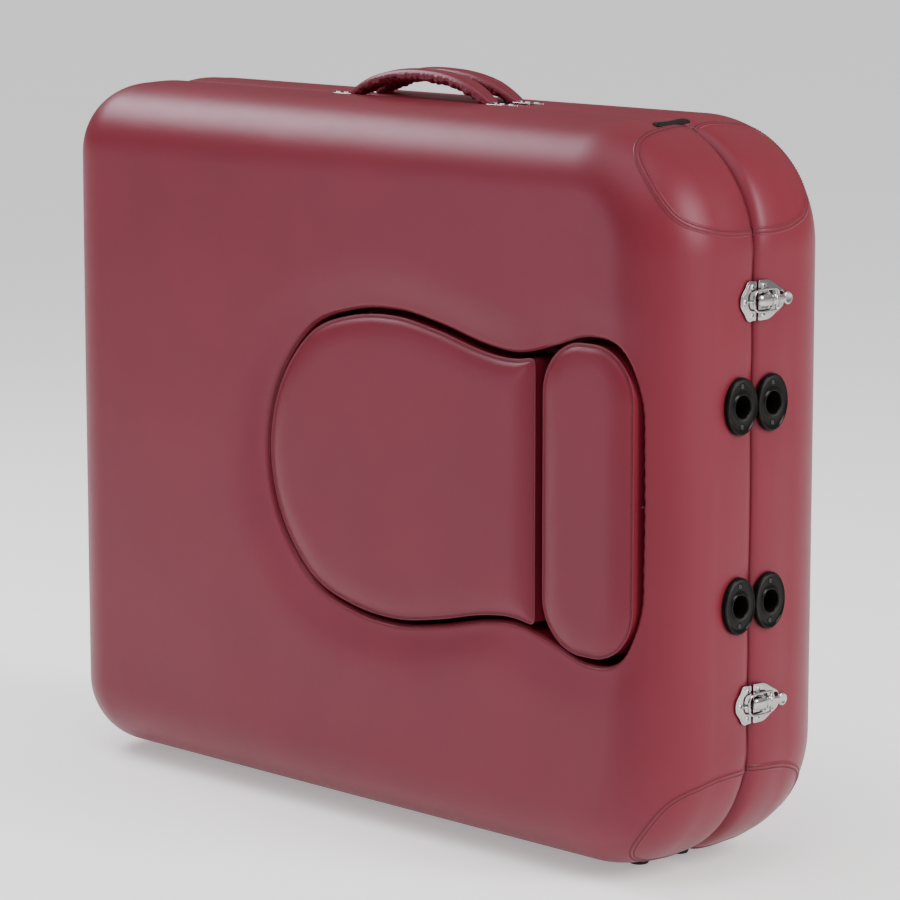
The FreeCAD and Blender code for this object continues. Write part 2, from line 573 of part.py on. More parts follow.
# ---------------------------------------------------------------- fold hinge
def fold_hinge():
    """A long butt hinge: knuckles shared between two leaves, on one pin."""
    z0 = MID_Z - d.hinge_long / 2
    pitch = d.hinge_long / d.knuckle_count
    bore = lambda name: rod(name, "@hinge_pin + @running", "@hinge_long + 4", (FOLD_X, 0, z0 - 2), (0, 0, 1))
    for side in (HEAD, FOOT):
        h = HALF_NAMES[side]
        first = 0 if side == HEAD else 1
        leaf = box(h + "_leaf_plate", ("@leaf_wide", "@leaf_thick", "@hinge_long"),
                   (FOLD_X + d.knuckle_radius - 1, y_block(side, d.parting_gap - d.leaf_thick - 0.05,
                                                           d.leaf_thick),
                    z0))
        sleeves, webs = [], []
        for n in range(first, int(d.knuckle_count), 2):
            at = z0 + n * pitch + 0.25
            sleeves.append(rod(f"{h}_knuckle_{n}", "@knuckle_radius", "@hinge_long / @knuckle_count - 0.5",
                               (FOLD_X, 0, at), (0, 0, 1)))
            webs.append(box(f"{h}_web_{n}", ("@knuckle_radius", "@leaf_thick",
                                             "@hinge_long / @knuckle_count - 0.5"),
                            (FOLD_X, y_block(side, d.parting_gap - d.leaf_thick - 0.05, d.leaf_thick), at)))
        relief = []
        for n in range(1 - first, int(d.knuckle_count), 2):
            relief.append(rod(f"{h}_relief_{n}", "@knuckle_radius + 0.3", "@hinge_long / @knuckle_count",
                              (FOLD_X, 0, z0 + n * pitch), (0, 0, 1)))
        body = fuse(h + "_leaf_body", leaf, *sleeves, *webs)
        node(h + "_hinge_leaf", cut(h + "_hinge_leaf", body, bore(h + "_leaf_bore"), *relief))
    node("fold_hinge_pin", rod("fold_hinge_pin", "@hinge_pin", "@hinge_long", (FOLD_X, 0, z0), (0, 0, 1)))


# ---------------------------------------------------------------- outlets, feet, handles
def outlets(side):
    """Two flanged sockets that take a face cradle's posts, each held by two screws."""
    h = HALF_NAMES[side]
    sockets, screws = [], []
    for sign in (-1, 1):
        tag = f"{h}_outlet_{'low' if sign < 0 else 'high'}"
        y, z = side * d.outlet_depth, MID_Z + sign * d.outlet_spacing / 2
        oval = Part.Ellipse(V(0, 0, d.flange_tall), V(0, d.flange_wide, 0), V(0, 0, 0))
        flange = flat(tag + "_flange", Part.Wire(oval.toShape()), (END_X + d.fit_gap, y, z),
                      (d.flange_thick, 0, 0))
        tube_x = END_X - FRAME_IN - d.rail_thick + d.fit_gap
        tube = rod(tag + "_tube", "@outlet_tube", "@skin + @padding + @rail_thick", (tube_x, y, z),
                   (1, 0, 0))
        bore = rod(tag + "_bore", "@outlet_bore", "90", (END_X - 60, y, z), (1, 0, 0))
        heads = [(y, z + s * (d.flange_tall + d.outlet_bore) / 2) for s in (-1, 1)]
        sinks = [rod(f"{tag}_sink_{n}", "@screw_radius + 0.5", "10", (END_X + d.flange_thick - 2, *at),
                     (1, 0, 0))
                 for n, at in enumerate(heads)]
        sockets.append(cut(tag, fuse(tag + "_body", flange, tube), bore, *sinks))
        screws += [rod(f"{tag}_screw_{n}", "@screw_radius", "2.2", (END_X + d.flange_thick - 2 + 0.02,
                                                                    *at), (1, 0, 0))
                   for n, at in enumerate(heads)]
    node(h + "_outlets", group(h + "_outlets", sockets))
    node(h + "_outlet_screws", group(h + "_outlet_screws", screws))


def case_feet(side):
    """Two rubber buttons under the edge that the folded case stands on."""
    h = HALF_NAMES[side]
    feet = []
    for name, x in (("latch", d.foot_along - d.shift), ("hinge", -d.foot_along - d.shift)):
        at = (x, side * d.foot_depth)
        wide = rod(f"{h}_{name}_foot_disc", "@foot_radius", "@floor_gap - 2.1", (*at, 2), (0, 0, 1))
        cone = doc.addObject("Part::Cone", f"{h}_{name}_foot_cone")
        cone.setExpression("Radius1", cell("@foot_radius - 2"))
        cone.setExpression("Radius2", cell("@foot_radius"))
        cone.Height = 2
        cone.Placement = FreeCAD.Placement(V(*at, 0), FreeCAD.Rotation())
        feet.append(fuse(f"{h}_{name}_foot", wide, cone))
    node(h + "_case_feet", group(h + "_case_feet", feet))


def arch_wire(half, rise, thick, drop):
    """The side view of a handle: two arcs over its feet, closed by square ends."""
    outer = Part.Arc(V(-half, 0, thick), V(0, 0, rise + thick / 2), V(half, 0, thick))
    inner = Part.Arc(V(half, 0, -drop), V(0, 0, rise - thick / 2), V(-half, 0, -drop))
    edges = [outer.toShape(), Part.makeLine(V(half, 0, thick), V(half, 0, -drop)), inner.toShape(),
             Part.makeLine(V(-half, 0, -drop), V(-half, 0, thick))]
    return Part.Wire(edges)


def handle(side):
    """A padded carrying handle that swings on a pin at each end, and the two plates that hold the pins."""
    h = HALF_NAMES[side]
    x, y, z = d.handle_along, side * d.handle_depth, TOP_Z + d.handle_lift
    wire = arch_wire(d.handle_half, d.handle_rise, d.handle_thick / 2, d.handle_thick / 2)
    arch = flat(h + "_handle_arch", wire, (x, y - d.handle_wide / 2, z), (0, d.handle_wide, 0))
    n, w, b = d.handle_neck / 2, d.handle_wide / 2, d.handle_half
    plan = loop([(-b - 1, -n, 0), (-b * 0.62, -w, 0), (b * 0.62, -w, 0), (b + 1, -n, 0), (b + 1, n, 0),
                 (b * 0.62, w, 0), (-b * 0.62, w, 0), (-b - 1, n, 0)])
    trim = flat(h + "_handle_plan", plan, (x, y, z - 20), (0, 0, d.handle_rise + 60))
    shape = doc.addObject("Part::Common", h + "_handle_shape")
    shape.Base, shape.Tool = arch, trim
    ends = (("hinge", -1), ("latch", 1))
    bores = [rod(f"{h}_handle_bore_{name}", "@handle_pin + @running", "12",
                 (x + s * (d.handle_half - d.handle_overlap), y, z),
                 (s, 0, 0)) for name, s in ends]
    node(h + "_handle", cut(h + "_handle", shape, *bores))
    plates = []
    for name, s in ends:
        tag = f"{h}_handle_{name}"
        near = d.handle_half + 1
        plate_x = x + (near if s > 0 else -near - d.plate_long)
        plate = box(tag + "_plate", ("@plate_long", "@plate_wide", "@plate_thick"),
                    (plate_x, y - d.plate_wide / 2, TOP_Z + d.fit_gap))
        ear = box(tag + "_ear", ("@ear_thick", "@plate_wide * 0.5", "@handle_lift + 4"),
                  (x + (near if s > 0 else -near - d.ear_thick), y - d.plate_wide / 4, TOP_Z + d.fit_gap))
        pin = rod(tag + "_pin", "@handle_pin", "13", (x + s * (near + d.ear_thick), y, z), (-s, 0, 0))
        domes = [rod(f"{tag}_rivet_{k}", "@screw_radius", "@plate_thick + @screw_proud",
                     (x + s * (near + 8 + 18 * k), y, TOP_Z + d.fit_gap), (0, 0, 1)) for k in range(2)]
        plates.append(fuse(tag + "_mount", plate, ear, pin, *domes))
    node(h + "_handle_plates", group(h + "_handle_plates", plates))


# ---------------------------------------------------------------- latches
def latch(name, z):
    """A draw latch across the parting line: keeper on the head half; base, lever and bail on the foot half."""
    tag = name + "_latch"
    x0 = END_X + d.fit_gap
    half = d.keeper_high / 2
    w = d.keeper_wide
    plan = loop([(0, -2, -half), (0, -10, -half), (0, -w, -half * 0.45), (0, -w - 1, 0),
                 (0, -w, half * 0.45),
                 (0, -10, half), (0, -2, half)])
    keeper_plate = flat(tag + "_keeper_plate", plan, (x0, 0, z), (d.plate_thick, 0, 0))
    hook_y = d.bail_pivot + d.lever_pivot - d.bail_long      # the bail's far end, inside its wire
    hook = box(tag + "_hook", ("@lever_lift - @bail_wire - 0.3", "2.5", "12"), (x0, hook_y + 0.5, z - 6))
    lip = box(tag + "_lip", ("1.5", "6", "12"), (x0 + d.lever_lift - d.bail_wire - 1.8, hook_y - 3, z - 6))
    screws = [rod(f"{tag}_keeper_screw_{n}", "@screw_radius", "@plate_thick + 1", (x0, y, z + dz), (1, 0, 0))
              for n, (y, dz) in enumerate(((-7, half - 5), (-w + 4.5, 0), (-7, 5 - half)))]
    node(tag + "_keeper", fuse(tag + "_keeper", keeper_plate, hook, lip, *screws))

    bw, bh = d.base_wide, d.base_high / 2
    plan = loop([(0, 2, -bh), (0, bw / 2, -bh), (0, bw, -bh * 0.35), (0, bw, bh * 0.35), (0, bw / 2, bh),
                 (0, 2, bh)])
    plate = flat(tag + "_base_plate", plan, (x0, 0, z), (d.plate_thick, 0, 0))
    pivot = (x0 + d.lever_lift, d.lever_pivot)
    ears = [box(f"{tag}_ear_{n}", ("@lever_lift + 2.5", "5", "1.5"), (x0, d.lever_pivot - 2.5, z + at))
            for n, at in enumerate((-d.lever_wide / 2 - 1.9, d.lever_wide / 2 + 0.4))]
    pin = rod(tag + "_lever_pin", "@lever_pin", "@lever_wide + 3.8", (*pivot, z - d.lever_wide / 2 - 1.9),
              (0, 0, 1))
    rivets = [rod(f"{tag}_base_rivet_{n}", "@screw_radius", "@plate_thick + 1", (x0, 9, z + s * (bh - 5)),
                  (1, 0, 0))
              for n, s in enumerate((-1, 1))]
    node(tag + "_base", fuse(tag + "_base", plate, *ears, pin, *rivets))

    lever_x = x0 + d.lever_lift - d.lever_thick / 2
    bar = box(tag + "_lever_bar", ("@lever_thick", "@lever_long", "@lever_wide"),
              (lever_x, d.lever_pivot, z - d.lever_wide / 2))
    barrel = rod(tag + "_lever_barrel", "@lever_pin + 1.4", "@lever_wide", (*pivot, z - d.lever_wide / 2),
                 (0, 0, 1))
    tab = rod(tag + "_lever_tab", "@tab_radius", "@lever_thick", (lever_x, d.lever_pivot + d.lever_long, z),
              (1, 0, 0))
    bail_at = (x0 + d.lever_lift, d.lever_pivot + d.bail_pivot)
    eye = rod(tag + "_lever_eye", "@bail_wire + 1.2", "@lever_wide", (*bail_at, z - d.lever_wide / 2),
              (0, 0, 1))
    pin_bore = rod(tag + "_lever_bore", "@lever_pin + @running", "40", (*pivot, z - 20), (0, 0, 1))
    bail_bore = rod(tag + "_bail_bore", "@bail_wire + @running", "40", (*bail_at, z - 20), (0, 0, 1))
    node(tag + "_lever", cut(tag + "_lever", fuse(tag + "_lever_body", bar, barrel, tab, eye), pin_bore,
                             bail_bore))

    r = d.bail_wire
    side_z = d.bail_wide / 2 - r
    near = bail_at[1]
    far = near - d.bail_long
    across = rod(tag + "_bail_axle", "@bail_wire", "@bail_wide", (bail_at[0], near, z - d.bail_wide / 2),
                 (0, 0, 1))
    front = rod(tag + "_bail_front", "@bail_wire", "@bail_wide", (bail_at[0], far, z - d.bail_wide / 2),
                (0, 0, 1))
    arms = [rod(f"{tag}_bail_arm_{n}", "@bail_wire", "@bail_long", (bail_at[0], far, z + s * side_z),
                (0, 1, 0))
            for n, s in enumerate((-1, 1))]
    node(tag + "_bail", fuse(tag + "_bail", across, front, *arms))


def pull_tab():
    """A short webbing strap, held by one screw where the head half's top starts round the latch corner."""
    beyond = d.tab_along - (d.case_length / 2 - d.latch_corner)
    lean = math.asin(beyond / d.latch_corner)
    surface = V(d.tab_along - d.shift, 0, TOP_Z - d.latch_corner * (1 - math.cos(lean)))
    turn = FreeCAD.Rotation(V(0, 1, 0), math.degrees(lean))
    strap = box("pull_tab_strap", ("@tab_wide", "@tab_long", "@tab_thick"), (0, 0, 0))
    corner = surface + turn.multVec(V(-d.tab_wide / 2, 0, 0.3)) + V(0, -d.tab_depth, 0)
    strap.Placement = FreeCAD.Placement(corner, turn)
    screw_at = surface + V(0, d.tab_wide / 2 - d.tab_depth, 0)
    eye = rod("pull_tab_eye", "@screw_radius", "12", screw_at + turn.multVec(V(0, 0, -4)),
              turn.multVec(Z_AXIS))
    node("pull_tab", cut("pull_tab", strap, eye))
    node("pull_tab_screw", rod("pull_tab_screw", "@screw_radius", "@tab_thick + @screw_proud",
                               screw_at + turn.multVec(V(0, 0, 0.3)), turn.multVec(Z_AXIS)))


# ---------------------------------------------------------------- make everything
for half in (HEAD, FOOT):
    upholstery(half)
    timber(half)
    leg_set(half)
    outlets(half)
    case_feet(half)
    handle(half)
plugs()
fold_hinge()
pull_tab()
latch("upper", MID_Z + d.latch_spacing / 2)
latch("lower", MID_Z - d.latch_spacing / 2)
doc.recompute()

# ---------------------------------------------------------------- check and write
bad = [o.Label for o in doc.Objects if "Invalid" in o.State or "Error" in o.State]
assert not bad, f"objects that failed: {bad}"
os.makedirs("parts", exist_ok=True)
for old in os.listdir("parts"):
    os.remove(os.path.join("parts", old))
whole = FreeCAD.BoundBox()
for label, thing in NODES.items():
    shape = thing.Shape
    assert not shape.isNull() and shape.isValid() and shape.Solids, label
    whole.add(shape.BoundBox)
    shape.exportStep(f"parts/{label}.step")
print(len(NODES), "nodes")
print("bounds", whole)
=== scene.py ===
"""The portable massage table as it looks: soft covers, seams, plugs, handles and chrome, over the CAD frame.

Lengths in the tables and helper functions are millimetres; objects are made in metres.  "Depth" is the
distance from the parting plane between the two halves; side is -1 for the head half and +1 for the foot half.
"""
import bmesh
import bpy
import math
import numpy as np
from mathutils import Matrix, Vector, noise


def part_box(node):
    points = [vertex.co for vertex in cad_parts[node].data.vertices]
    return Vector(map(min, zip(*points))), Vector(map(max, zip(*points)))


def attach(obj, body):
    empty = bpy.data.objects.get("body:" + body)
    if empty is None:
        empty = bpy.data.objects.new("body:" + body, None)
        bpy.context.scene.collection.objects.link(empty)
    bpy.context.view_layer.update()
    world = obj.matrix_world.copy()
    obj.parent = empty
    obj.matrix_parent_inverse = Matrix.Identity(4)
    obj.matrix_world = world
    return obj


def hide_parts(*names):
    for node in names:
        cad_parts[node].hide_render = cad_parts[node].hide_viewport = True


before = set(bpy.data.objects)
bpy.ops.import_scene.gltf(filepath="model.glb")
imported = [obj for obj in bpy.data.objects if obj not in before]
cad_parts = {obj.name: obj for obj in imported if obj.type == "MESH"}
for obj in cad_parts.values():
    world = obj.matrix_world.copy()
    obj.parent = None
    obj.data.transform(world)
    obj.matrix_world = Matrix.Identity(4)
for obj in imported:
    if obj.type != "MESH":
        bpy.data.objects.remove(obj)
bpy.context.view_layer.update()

HEAD, FOOT = -1, 1
NAMES = {HEAD: "head", FOOT: "foot"}
(X_LOW, _, Z_LOW), (X_HIGH, _, Z_HIGH) = [[round(1000 * c, 1) for c in end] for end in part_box("head_cover")]
MID_Z = (Z_LOW + Z_HIGH) / 2
HINGE_CORNER, LATCH_CORNER = 78.0, 130.0
HALF_DEPTH = 135.0  # depth of the covers' faces at their edges
ROUND_WIDE, ROUND_DEEP = 76.0, 81.0  # how far the face's edge rounds over, in plan and in depth
ROUND_POWER = 2.12
SIDE_TOP = HALF_DEPTH - ROUND_DEEP  # depth where the side wall ends and the rounding starts
SHIFT = 2.0  # how far the case's middle lies towards the hinge
OPEN_Z = MID_Z + 5.0  # the middle of the opening and its plugs
OUTLINE = ((-117, 0), (-99, 76), (-48, 137.5), (17, 162), (87, 168), (152, 159), (217, 144.5), (267, 141),
           (317, 153.5), (367, 166.5), (410, 157), (430, 110), (433, 50))
OUTLET_Z = (MID_Z - 101.0, MID_Z + 101.0)
OUTLET_DEPTH = 22.8
LATCH_Z = {"upper": MID_Z + 205.0, "lower": MID_Z - 205.0}
FIT = 0.1  # fittings stand this far off the covers
CROWN_RISE, CROWN_LONG, CROWN_TALL = 4.0, 500.0, 420.0  # the padding's extra height, and how far it spreads
X_AXIS, Y_AXIS, Z_AXIS = (1, 0, 0), (0, 1, 0), (0, 0, 1)


# ---- materials
def add(tree, kind, **inputs):
    """A shader node with its inputs, or else its settings, given by name."""
    n = tree.nodes.new("ShaderNode" + kind)
    for key, value in inputs.items():
        if key in n.inputs:
            n.inputs[key].default_value = value
        else:
            setattr(n, key, value)
    return n


def scaled(colour, k):
    """A colour made lighter or darker."""
    return tuple(min(1.0, c * k) for c in colour)


class Look:
    """A node material whose textures are read at the object's own coordinates in metres, scaled."""

    def __init__(self, name, scale=(1, 1, 1)):
        self.material = bpy.data.materials.new(name)
        self.material.use_nodes = True
        self.tree = self.material.node_tree
        self.link = self.tree.links.new
        self.shader = self.tree.nodes["Principled BSDF"].inputs
        mapping = add(self.tree, "Mapping", Scale=scale)
        self.link(add(self.tree, "TexCoord").outputs["Object"], mapping.inputs["Vector"])
        self.at = mapping.outputs["Vector"]

    def texture(self, kind, scale, output="Fac", **more):
        """The named output of a texture node."""
        t = add(self.tree, "Tex" + kind, Scale=scale, **more)
        self.link(self.at, t.inputs["Vector"])
        return t.outputs[output]

    def ramp(self, source, low, high, start=0.3, stop=0.7):
        """A source mapped from one colour to another."""
        r = add(self.tree, "ValToRGB")
        for end, place, colour in zip(r.color_ramp.elements, (start, stop), (low, high)):
            end.position = place
            end.color = (*colour, 1)
        self.link(source, r.inputs["Fac"])
        return r.outputs["Color"]

    def bump(self, *layers):
        """Bumps stacked from (height output, strength, distance in metres)."""
        target = self.shader["Normal"]
        for height, strength, distance in reversed(layers):
            b = add(self.tree, "Bump", Strength=strength, Distance=distance)
            self.link(height, b.inputs["Height"])
            self.link(b.outputs["Normal"], target)
            target = b.inputs["Normal"]

    def surface(self, colour, roughness, gloss=None):
        """Links a colour; the roughness is a number, or (source, low, high) where it varies."""
        self.link(colour, self.shader["Base Color"])
        if gloss is not None:
            self.shader["Specular IOR Level"].default_value = gloss
        if isinstance(roughness, float):
            self.shader["Roughness"].default_value = roughness
            return
        source, low, high = roughness
        spread = add(self.tree, "MapRange")
        spread.inputs["To Min"].default_value = low
        spread.inputs["To Max"].default_value = high
        self.link(source, spread.inputs["Value"])
        self.link(spread.outputs["Result"], self.shader["Roughness"])


def leather(name, colour, roughness=0.4, grain=0.16):
    """Upholstery leatherette: slight clouding, fine pebbling with pores, and a tinted soft gloss."""
    look = Look(name)
    clouds = look.texture("Noise", 7.0, Detail=3.0)
    pores = look.texture("Voronoi", 1150.0, "Distance")
    pebble = look.texture("Noise", 520.0, Detail=4.0)
    ripples = look.texture("Noise", 21.0, Detail=2.0)
    sheen = look.texture("Noise", 60.0, Detail=2.0)
    look.bump((ripples, 0.10, 0.002), (pebble, grain, 0.0003), (pores, grain, 0.00025))
    look.surface(look.ramp(clouds, scaled(colour, 0.94), scaled(colour, 1.06)),
                 (sheen, roughness - 0.03, roughness + 0.04), 0.34)
    look.shader["Specular Tint"].default_value = (1.0, 0.78, 0.94, 1)
    return look.material


def thread(name, colour):
    """Sewing thread with a twist."""
    look = Look(name)
    twist = look.texture("Noise", 2500.0, Detail=1.0)
    look.surface(look.ramp(twist, scaled(colour, 0.7), scaled(colour, 1.3)), 0.6)
    return look.material


def metal(name, colour, roughness, brushed=0.0):
    """Plated or plain metal with faint handling marks."""
    look = Look(name, (1, 1, 18) if brushed else (1, 1, 1))
    look.shader["Metallic"].default_value = 1.0
    tone = look.texture("Noise", 90.0, Detail=3.0)
    marks = look.texture("Noise", 240.0, Detail=5.0)
    look.surface(look.ramp(tone, scaled(colour, 0.92), colour), (marks, roughness * 0.7, roughness * 1.4))
    look.bump((marks, 0.05 + brushed, 0.0002))
    return look.material


def plastic(name, colour, roughness, speckle=0.1, gloss=0.3):
    """Moulded plastic or rubber with a fine surface speckle."""
    look = Look(name)
    tone = look.texture("Noise", 300.0, Detail=3.0)
    look.surface(look.ramp(tone, colour, scaled(colour, 1.5)), roughness, gloss)
    look.bump((tone, speckle, 0.0002))
    return look.material


def wood(name, light, dark, roughness=0.42):
    """Straight-grained wood, with its grain along X."""
    look = Look(name, (1.2, 14, 14))
    grain = look.texture("Noise", 9.0, Detail=6.0, Distortion=0.6)
    fine = look.texture("Noise", 60.0, Detail=4.0)
    mix = add(look.tree, "Mix", data_type="RGBA", blend_type="MULTIPLY")
    mix.inputs["Factor"].default_value = 0.35
    look.link(look.ramp(grain, dark, light, 0.35, 0.62), mix.inputs["A"])
    look.link(look.ramp(fine, (0.55, 0.5, 0.45), (1, 1, 1)), mix.inputs["B"])
    look.surface(mix.outputs["Result"], roughness)
    look.bump((fine, 0.15, 0.0004))
    return look.material


def woven(name, colour):
    """Webbing with a ribbed weave."""
    look = Look(name)
    weave = look.texture("Wave", 300.0, Distortion=1.0)
    look.surface(look.ramp(weave, scaled(colour, 0.6), scaled(colour, 1.7)), 0.55, 0.12)
    look.bump((weave, 0.4, 0.0003))
    return look.material


BURGUNDY = (0.130, 0.0088, 0.0172)
COVER = leather("cover_leather", BURGUNDY)
PLUG = leather("plug_leather", scaled(BURGUNDY, 0.98), 0.42)
HANDLE = leather("handle_leather", scaled(BURGUNDY, 0.86), 0.36, 0.3)
THREAD = thread("thread_burgundy", (0.085, 0.011, 0.020))
# painted shade: the leather at less than half its brightness, for the shaded crease of the well's seam and
# for the plug boards seen down the shaded gaps
CREASE_SHADE = leather("crease_shade_leather", scaled(BURGUNDY, 0.45), 0.55)
CHROME = metal("chrome_plate", (0.40, 0.38, 0.38), 0.08)
STEEL = metal("zinc_steel", (0.58, 0.60, 0.62), 0.30, 0.05)
BLACK = plastic("outlet_black", (0.004, 0.0035, 0.003), 0.14, 0.04, 0.09)
# painted shade: near-black for the shade inside screw slots and the lever's groove, put on thin blocks where
# no hollow is modelled
RECESS_SHADE = plastic("recess_shade", (0.004, 0.004, 0.004), 0.6)
KNOB = plastic("knob_black", (0.02, 0.02, 0.021), 0.5, 0.3)
RUBBER = plastic("foot_rubber", (0.012, 0.012, 0.012), 0.7, 0.3)
STRAP = woven("strap_black", (0.006, 0.006, 0.006))
PLY = wood("deck_plywood", (0.62, 0.43, 0.25), (0.45, 0.29, 0.15), 0.5)
PINE = wood("rail_wood", (0.60, 0.39, 0.20), (0.40, 0.23, 0.10))
BEECH = wood("leg_wood", (0.52, 0.29, 0.13), (0.34, 0.17, 0.07))


# ---- mesh helpers
def make(name, shape, material, body, node=None):
    """A mesh object in millimetres, riding on a CAD body and standing for a CAD node if one is named."""
    verts, faces = (shape.verts, shape.faces) if isinstance(shape, Pile) else shape
    mesh = bpy.data.meshes.new(name)
    points = [tuple(float(c) / 1000 for c in v) for v in verts]
    mesh.from_pydata(points, [], [tuple(map(int, f)) for f in faces])
    mesh.validate()
    mesh.update()
    obj = bpy.data.objects.new(name, mesh)
    bpy.context.scene.collection.objects.link(obj)
    obj.data.materials.append(material)
    mesh.polygons.foreach_set("use_smooth", [True] * len(mesh.polygons))
    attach(obj, body)
    if node:
        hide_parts(*([node] if isinstance(node, str) else node))
    return obj


def outward(obj):
    """Turns every face of a closed mesh to point out."""
    bm = bmesh.new()
    bm.from_mesh(obj.data)
    bmesh.ops.recalc_face_normals(bm, faces=bm.faces)
    bm.to_mesh(obj.data)
    bm.free()
    return obj


def bevel(obj, width, segments=2, angle=35):
    """Rounds an object's sharp edges by a width in millimetres."""
    b = obj.modifiers.new("edge", "BEVEL")
    b.width = width / 1000
    b.segments = segments
    b.limit_method = "ANGLE"
    b.angle_limit = math.radians(angle)
    b.harden_normals = False
    return obj


def grid_faces(rows, columns, wrap):
    """Quads of a grid of points stored row by row; wrap joins the last row to the first."""
    faces = []
    for i in range(rows if wrap else rows - 1):
        j = (i + 1) % rows
        for k in range(columns - 1):
            faces.append((i * columns + k, i * columns + k + 1, j * columns + k + 1, j * columns + k))
    return faces


def ring_faces(rows, around, closed=False):
    """Quads between rings of points, each ring joined up; closed joins the last ring to the first."""
    faces = []
    for i in range(rows if closed else rows - 1):
        j = (i + 1) % rows
        for n in range(around):
            m = (n + 1) % around
            faces.append((i * around + n, i * around + m, j * around + m, j * around + n))
    return faces


def ring_skin(rows):
    """Rings of points joined one to the next, with both end rings closed by a face."""
    k = len(rows[0])
    ends = [tuple(range(k)), tuple((len(rows) - 1) * k + n for n in range(k))]
    return [v for row in rows for v in row], ring_faces(len(rows), k) + ends


class Pile:
    """Collects several closed pieces into one mesh."""

    def __init__(self):
        self.verts, self.faces = [], []

    def take(self, shape):
        """Adds a piece given as (points, faces)."""
        verts, faces = shape
        base = len(self.verts)
        self.verts += [tuple(v) for v in verts]
        self.faces += [tuple(base + i for i in f) for f in faces]
        return self


def frames_along(points, closed=False):
    """Unit tangents of a polyline."""
    p = np.array(points, float)
    if closed:
        t = np.roll(p, -1, 0) - np.roll(p, 1, 0)
    else:
        t = np.gradient(p, axis=0)
    return t / np.linalg.norm(t, axis=1)[:, None]


def tube(points, radius, sides=12, closed=False, flat=1.0, up=(0, 0, 1)):
    """A round or flattened rod along a polyline."""
    p = np.array(points, float)
    t = frames_along(p, closed)
    radii = np.broadcast_to(np.asarray(radius, float), (len(p),))
    verts = []
    for at, along, r in zip(p, t, radii):
        a = np.cross(along, up)
        if np.linalg.norm(a) < 1e-6:
            a = np.cross(along, (1, 0, 0))
        a /= np.linalg.norm(a)
        b = np.cross(a, along)
        for n in range(sides):
            w = 2 * math.pi * n / sides
            verts.append(at + a * r * math.cos(w) + b * r * flat * math.sin(w))
    faces = ring_faces(len(p), sides, closed)
    if not closed:
        faces.append(tuple(range(sides - 1, -1, -1)))
        faces.append(tuple((len(p) - 1) * sides + n for n in range(sides)))
    return verts, faces


def lathe(profile, centre, axis, sides=48):
    """Turns (radius, height) points about an axis through a centre; a closed profile makes a ring."""
    axis = np.array(axis, float)
    a = np.cross(axis, (0, 0, 1))
    if np.linalg.norm(a) < 1e-6:
        a = np.array((1.0, 0, 0))
    a /= np.linalg.norm(a)
    b = np.cross(axis, a)
    verts = []
    for n in range(sides):
        w = 2 * math.pi * n / sides
        for r, h in profile:
            verts.append(np.array(centre) + axis * h + (a * math.cos(w) + b * math.sin(w)) * r)
    return verts, grid_faces(sides, len(profile), True)


def plate(outline, low, high, place):
    """A flat plate: 2-D outline points pushed between two heights; place maps (u, v, height) to 3-D."""
    n = len(outline)
    verts = [place(u, v, low) for u, v in outline] + [place(u, v, high) for u, v in outline]
    faces = [tuple(range(n)), tuple(range(2 * n - 1, n - 1, -1))]
    faces += [(i, i + n, (i + 1) % n + n, (i + 1) % n) for i in range(n)]
    return verts, faces


def catmull(a, b, c, e, t):
    """A point at t from b to c on a Catmull-Rom curve through four points."""
    square, cube = 2 * a - 5 * b + 4 * c - e, 3 * b - a - 3 * c + e
    return 0.5 * (2 * b + (c - a) * t + square * t * t + cube * t ** 3)


def smooth_loop(points, steps=8):
    """A closed Catmull-Rom curve through 2-D points."""
    p = np.array(points, float)
    out = []
    for i in range(len(p)):
        near = p[i - 1], p[i], p[(i + 1) % len(p)], p[(i + 2) % len(p)]
        out += [catmull(*near, s / steps) for s in range(steps)]
    return np.array(out)


def smooth_path(points, step=2.0):
    """An open Catmull-Rom curve through points, at even spacing."""
    p = np.array(points, float)
    p = np.vstack([2 * p[0] - p[1], p, 2 * p[-1] - p[-2]])
    out = []
    for i in range(1, len(p) - 2):
        out += [catmull(*p[i - 1:i + 3], t) for t in np.linspace(0, 1, 24, endpoint=False)]
    out.append(p[-2])
    return even(np.array(out), step)


def even(p, step, closed=False):
    """Points at even spacing along a polyline."""
    if closed:
        p = np.vstack([p, p[:1]])
    run = np.concatenate([[0], np.cumsum(np.linalg.norm(np.diff(p, axis=0), axis=1))])
    count = max(3, int(round(run[-1] / step)) + 1)
    at = np.linspace(0, run[-1], count)
    q = np.stack([np.interp(at, run, p[:, c]) for c in range(p.shape[1])], 1)
    return q[:-1] if closed else q


# ---- the case's outline
def case_outline(step):
    """Points (x, z) around the case at even spacing with their outward normals, starting at mid top."""
    pts = []
    corners = ((X_HIGH, Z_HIGH, LATCH_CORNER, 90), (X_HIGH, Z_LOW, LATCH_CORNER, 0),
               (X_LOW, Z_LOW, HINGE_CORNER, -90), (X_LOW, Z_HIGH, HINGE_CORNER, -180))
    pts.append((0.0, Z_HIGH))
    for x, z, r, start in corners:
        cx = x - r if x > 0 else x + r
        cz = z - r if z > MID_Z else z + r
        for a in np.linspace(math.radians(start), math.radians(start - 90), 60):
            pts.append((cx + r * math.cos(a), cz + r * math.sin(a)))
    p = even(np.array(pts), step, closed=True)
    t = frames_along(p, closed=True)
    return p, np.stack([-t[:, 1], t[:, 0]], 1)


def edge_distance(x, z):
    """How far inside the case's outline a point of the face lies."""
    mid_x, half_x, half_z = (X_LOW + X_HIGH) / 2, (X_HIGH - X_LOW) / 2, (Z_HIGH - Z_LOW) / 2
    r = np.where(x > mid_x, LATCH_CORNER, HINGE_CORNER)
    qx = np.abs(x - mid_x) - half_x + r
    qz = np.abs(z - MID_Z) - half_z + r
    outside = np.hypot(np.maximum(qx, 0), np.maximum(qz, 0))
    return r - outside - np.minimum(np.maximum(qx, qz), 0)


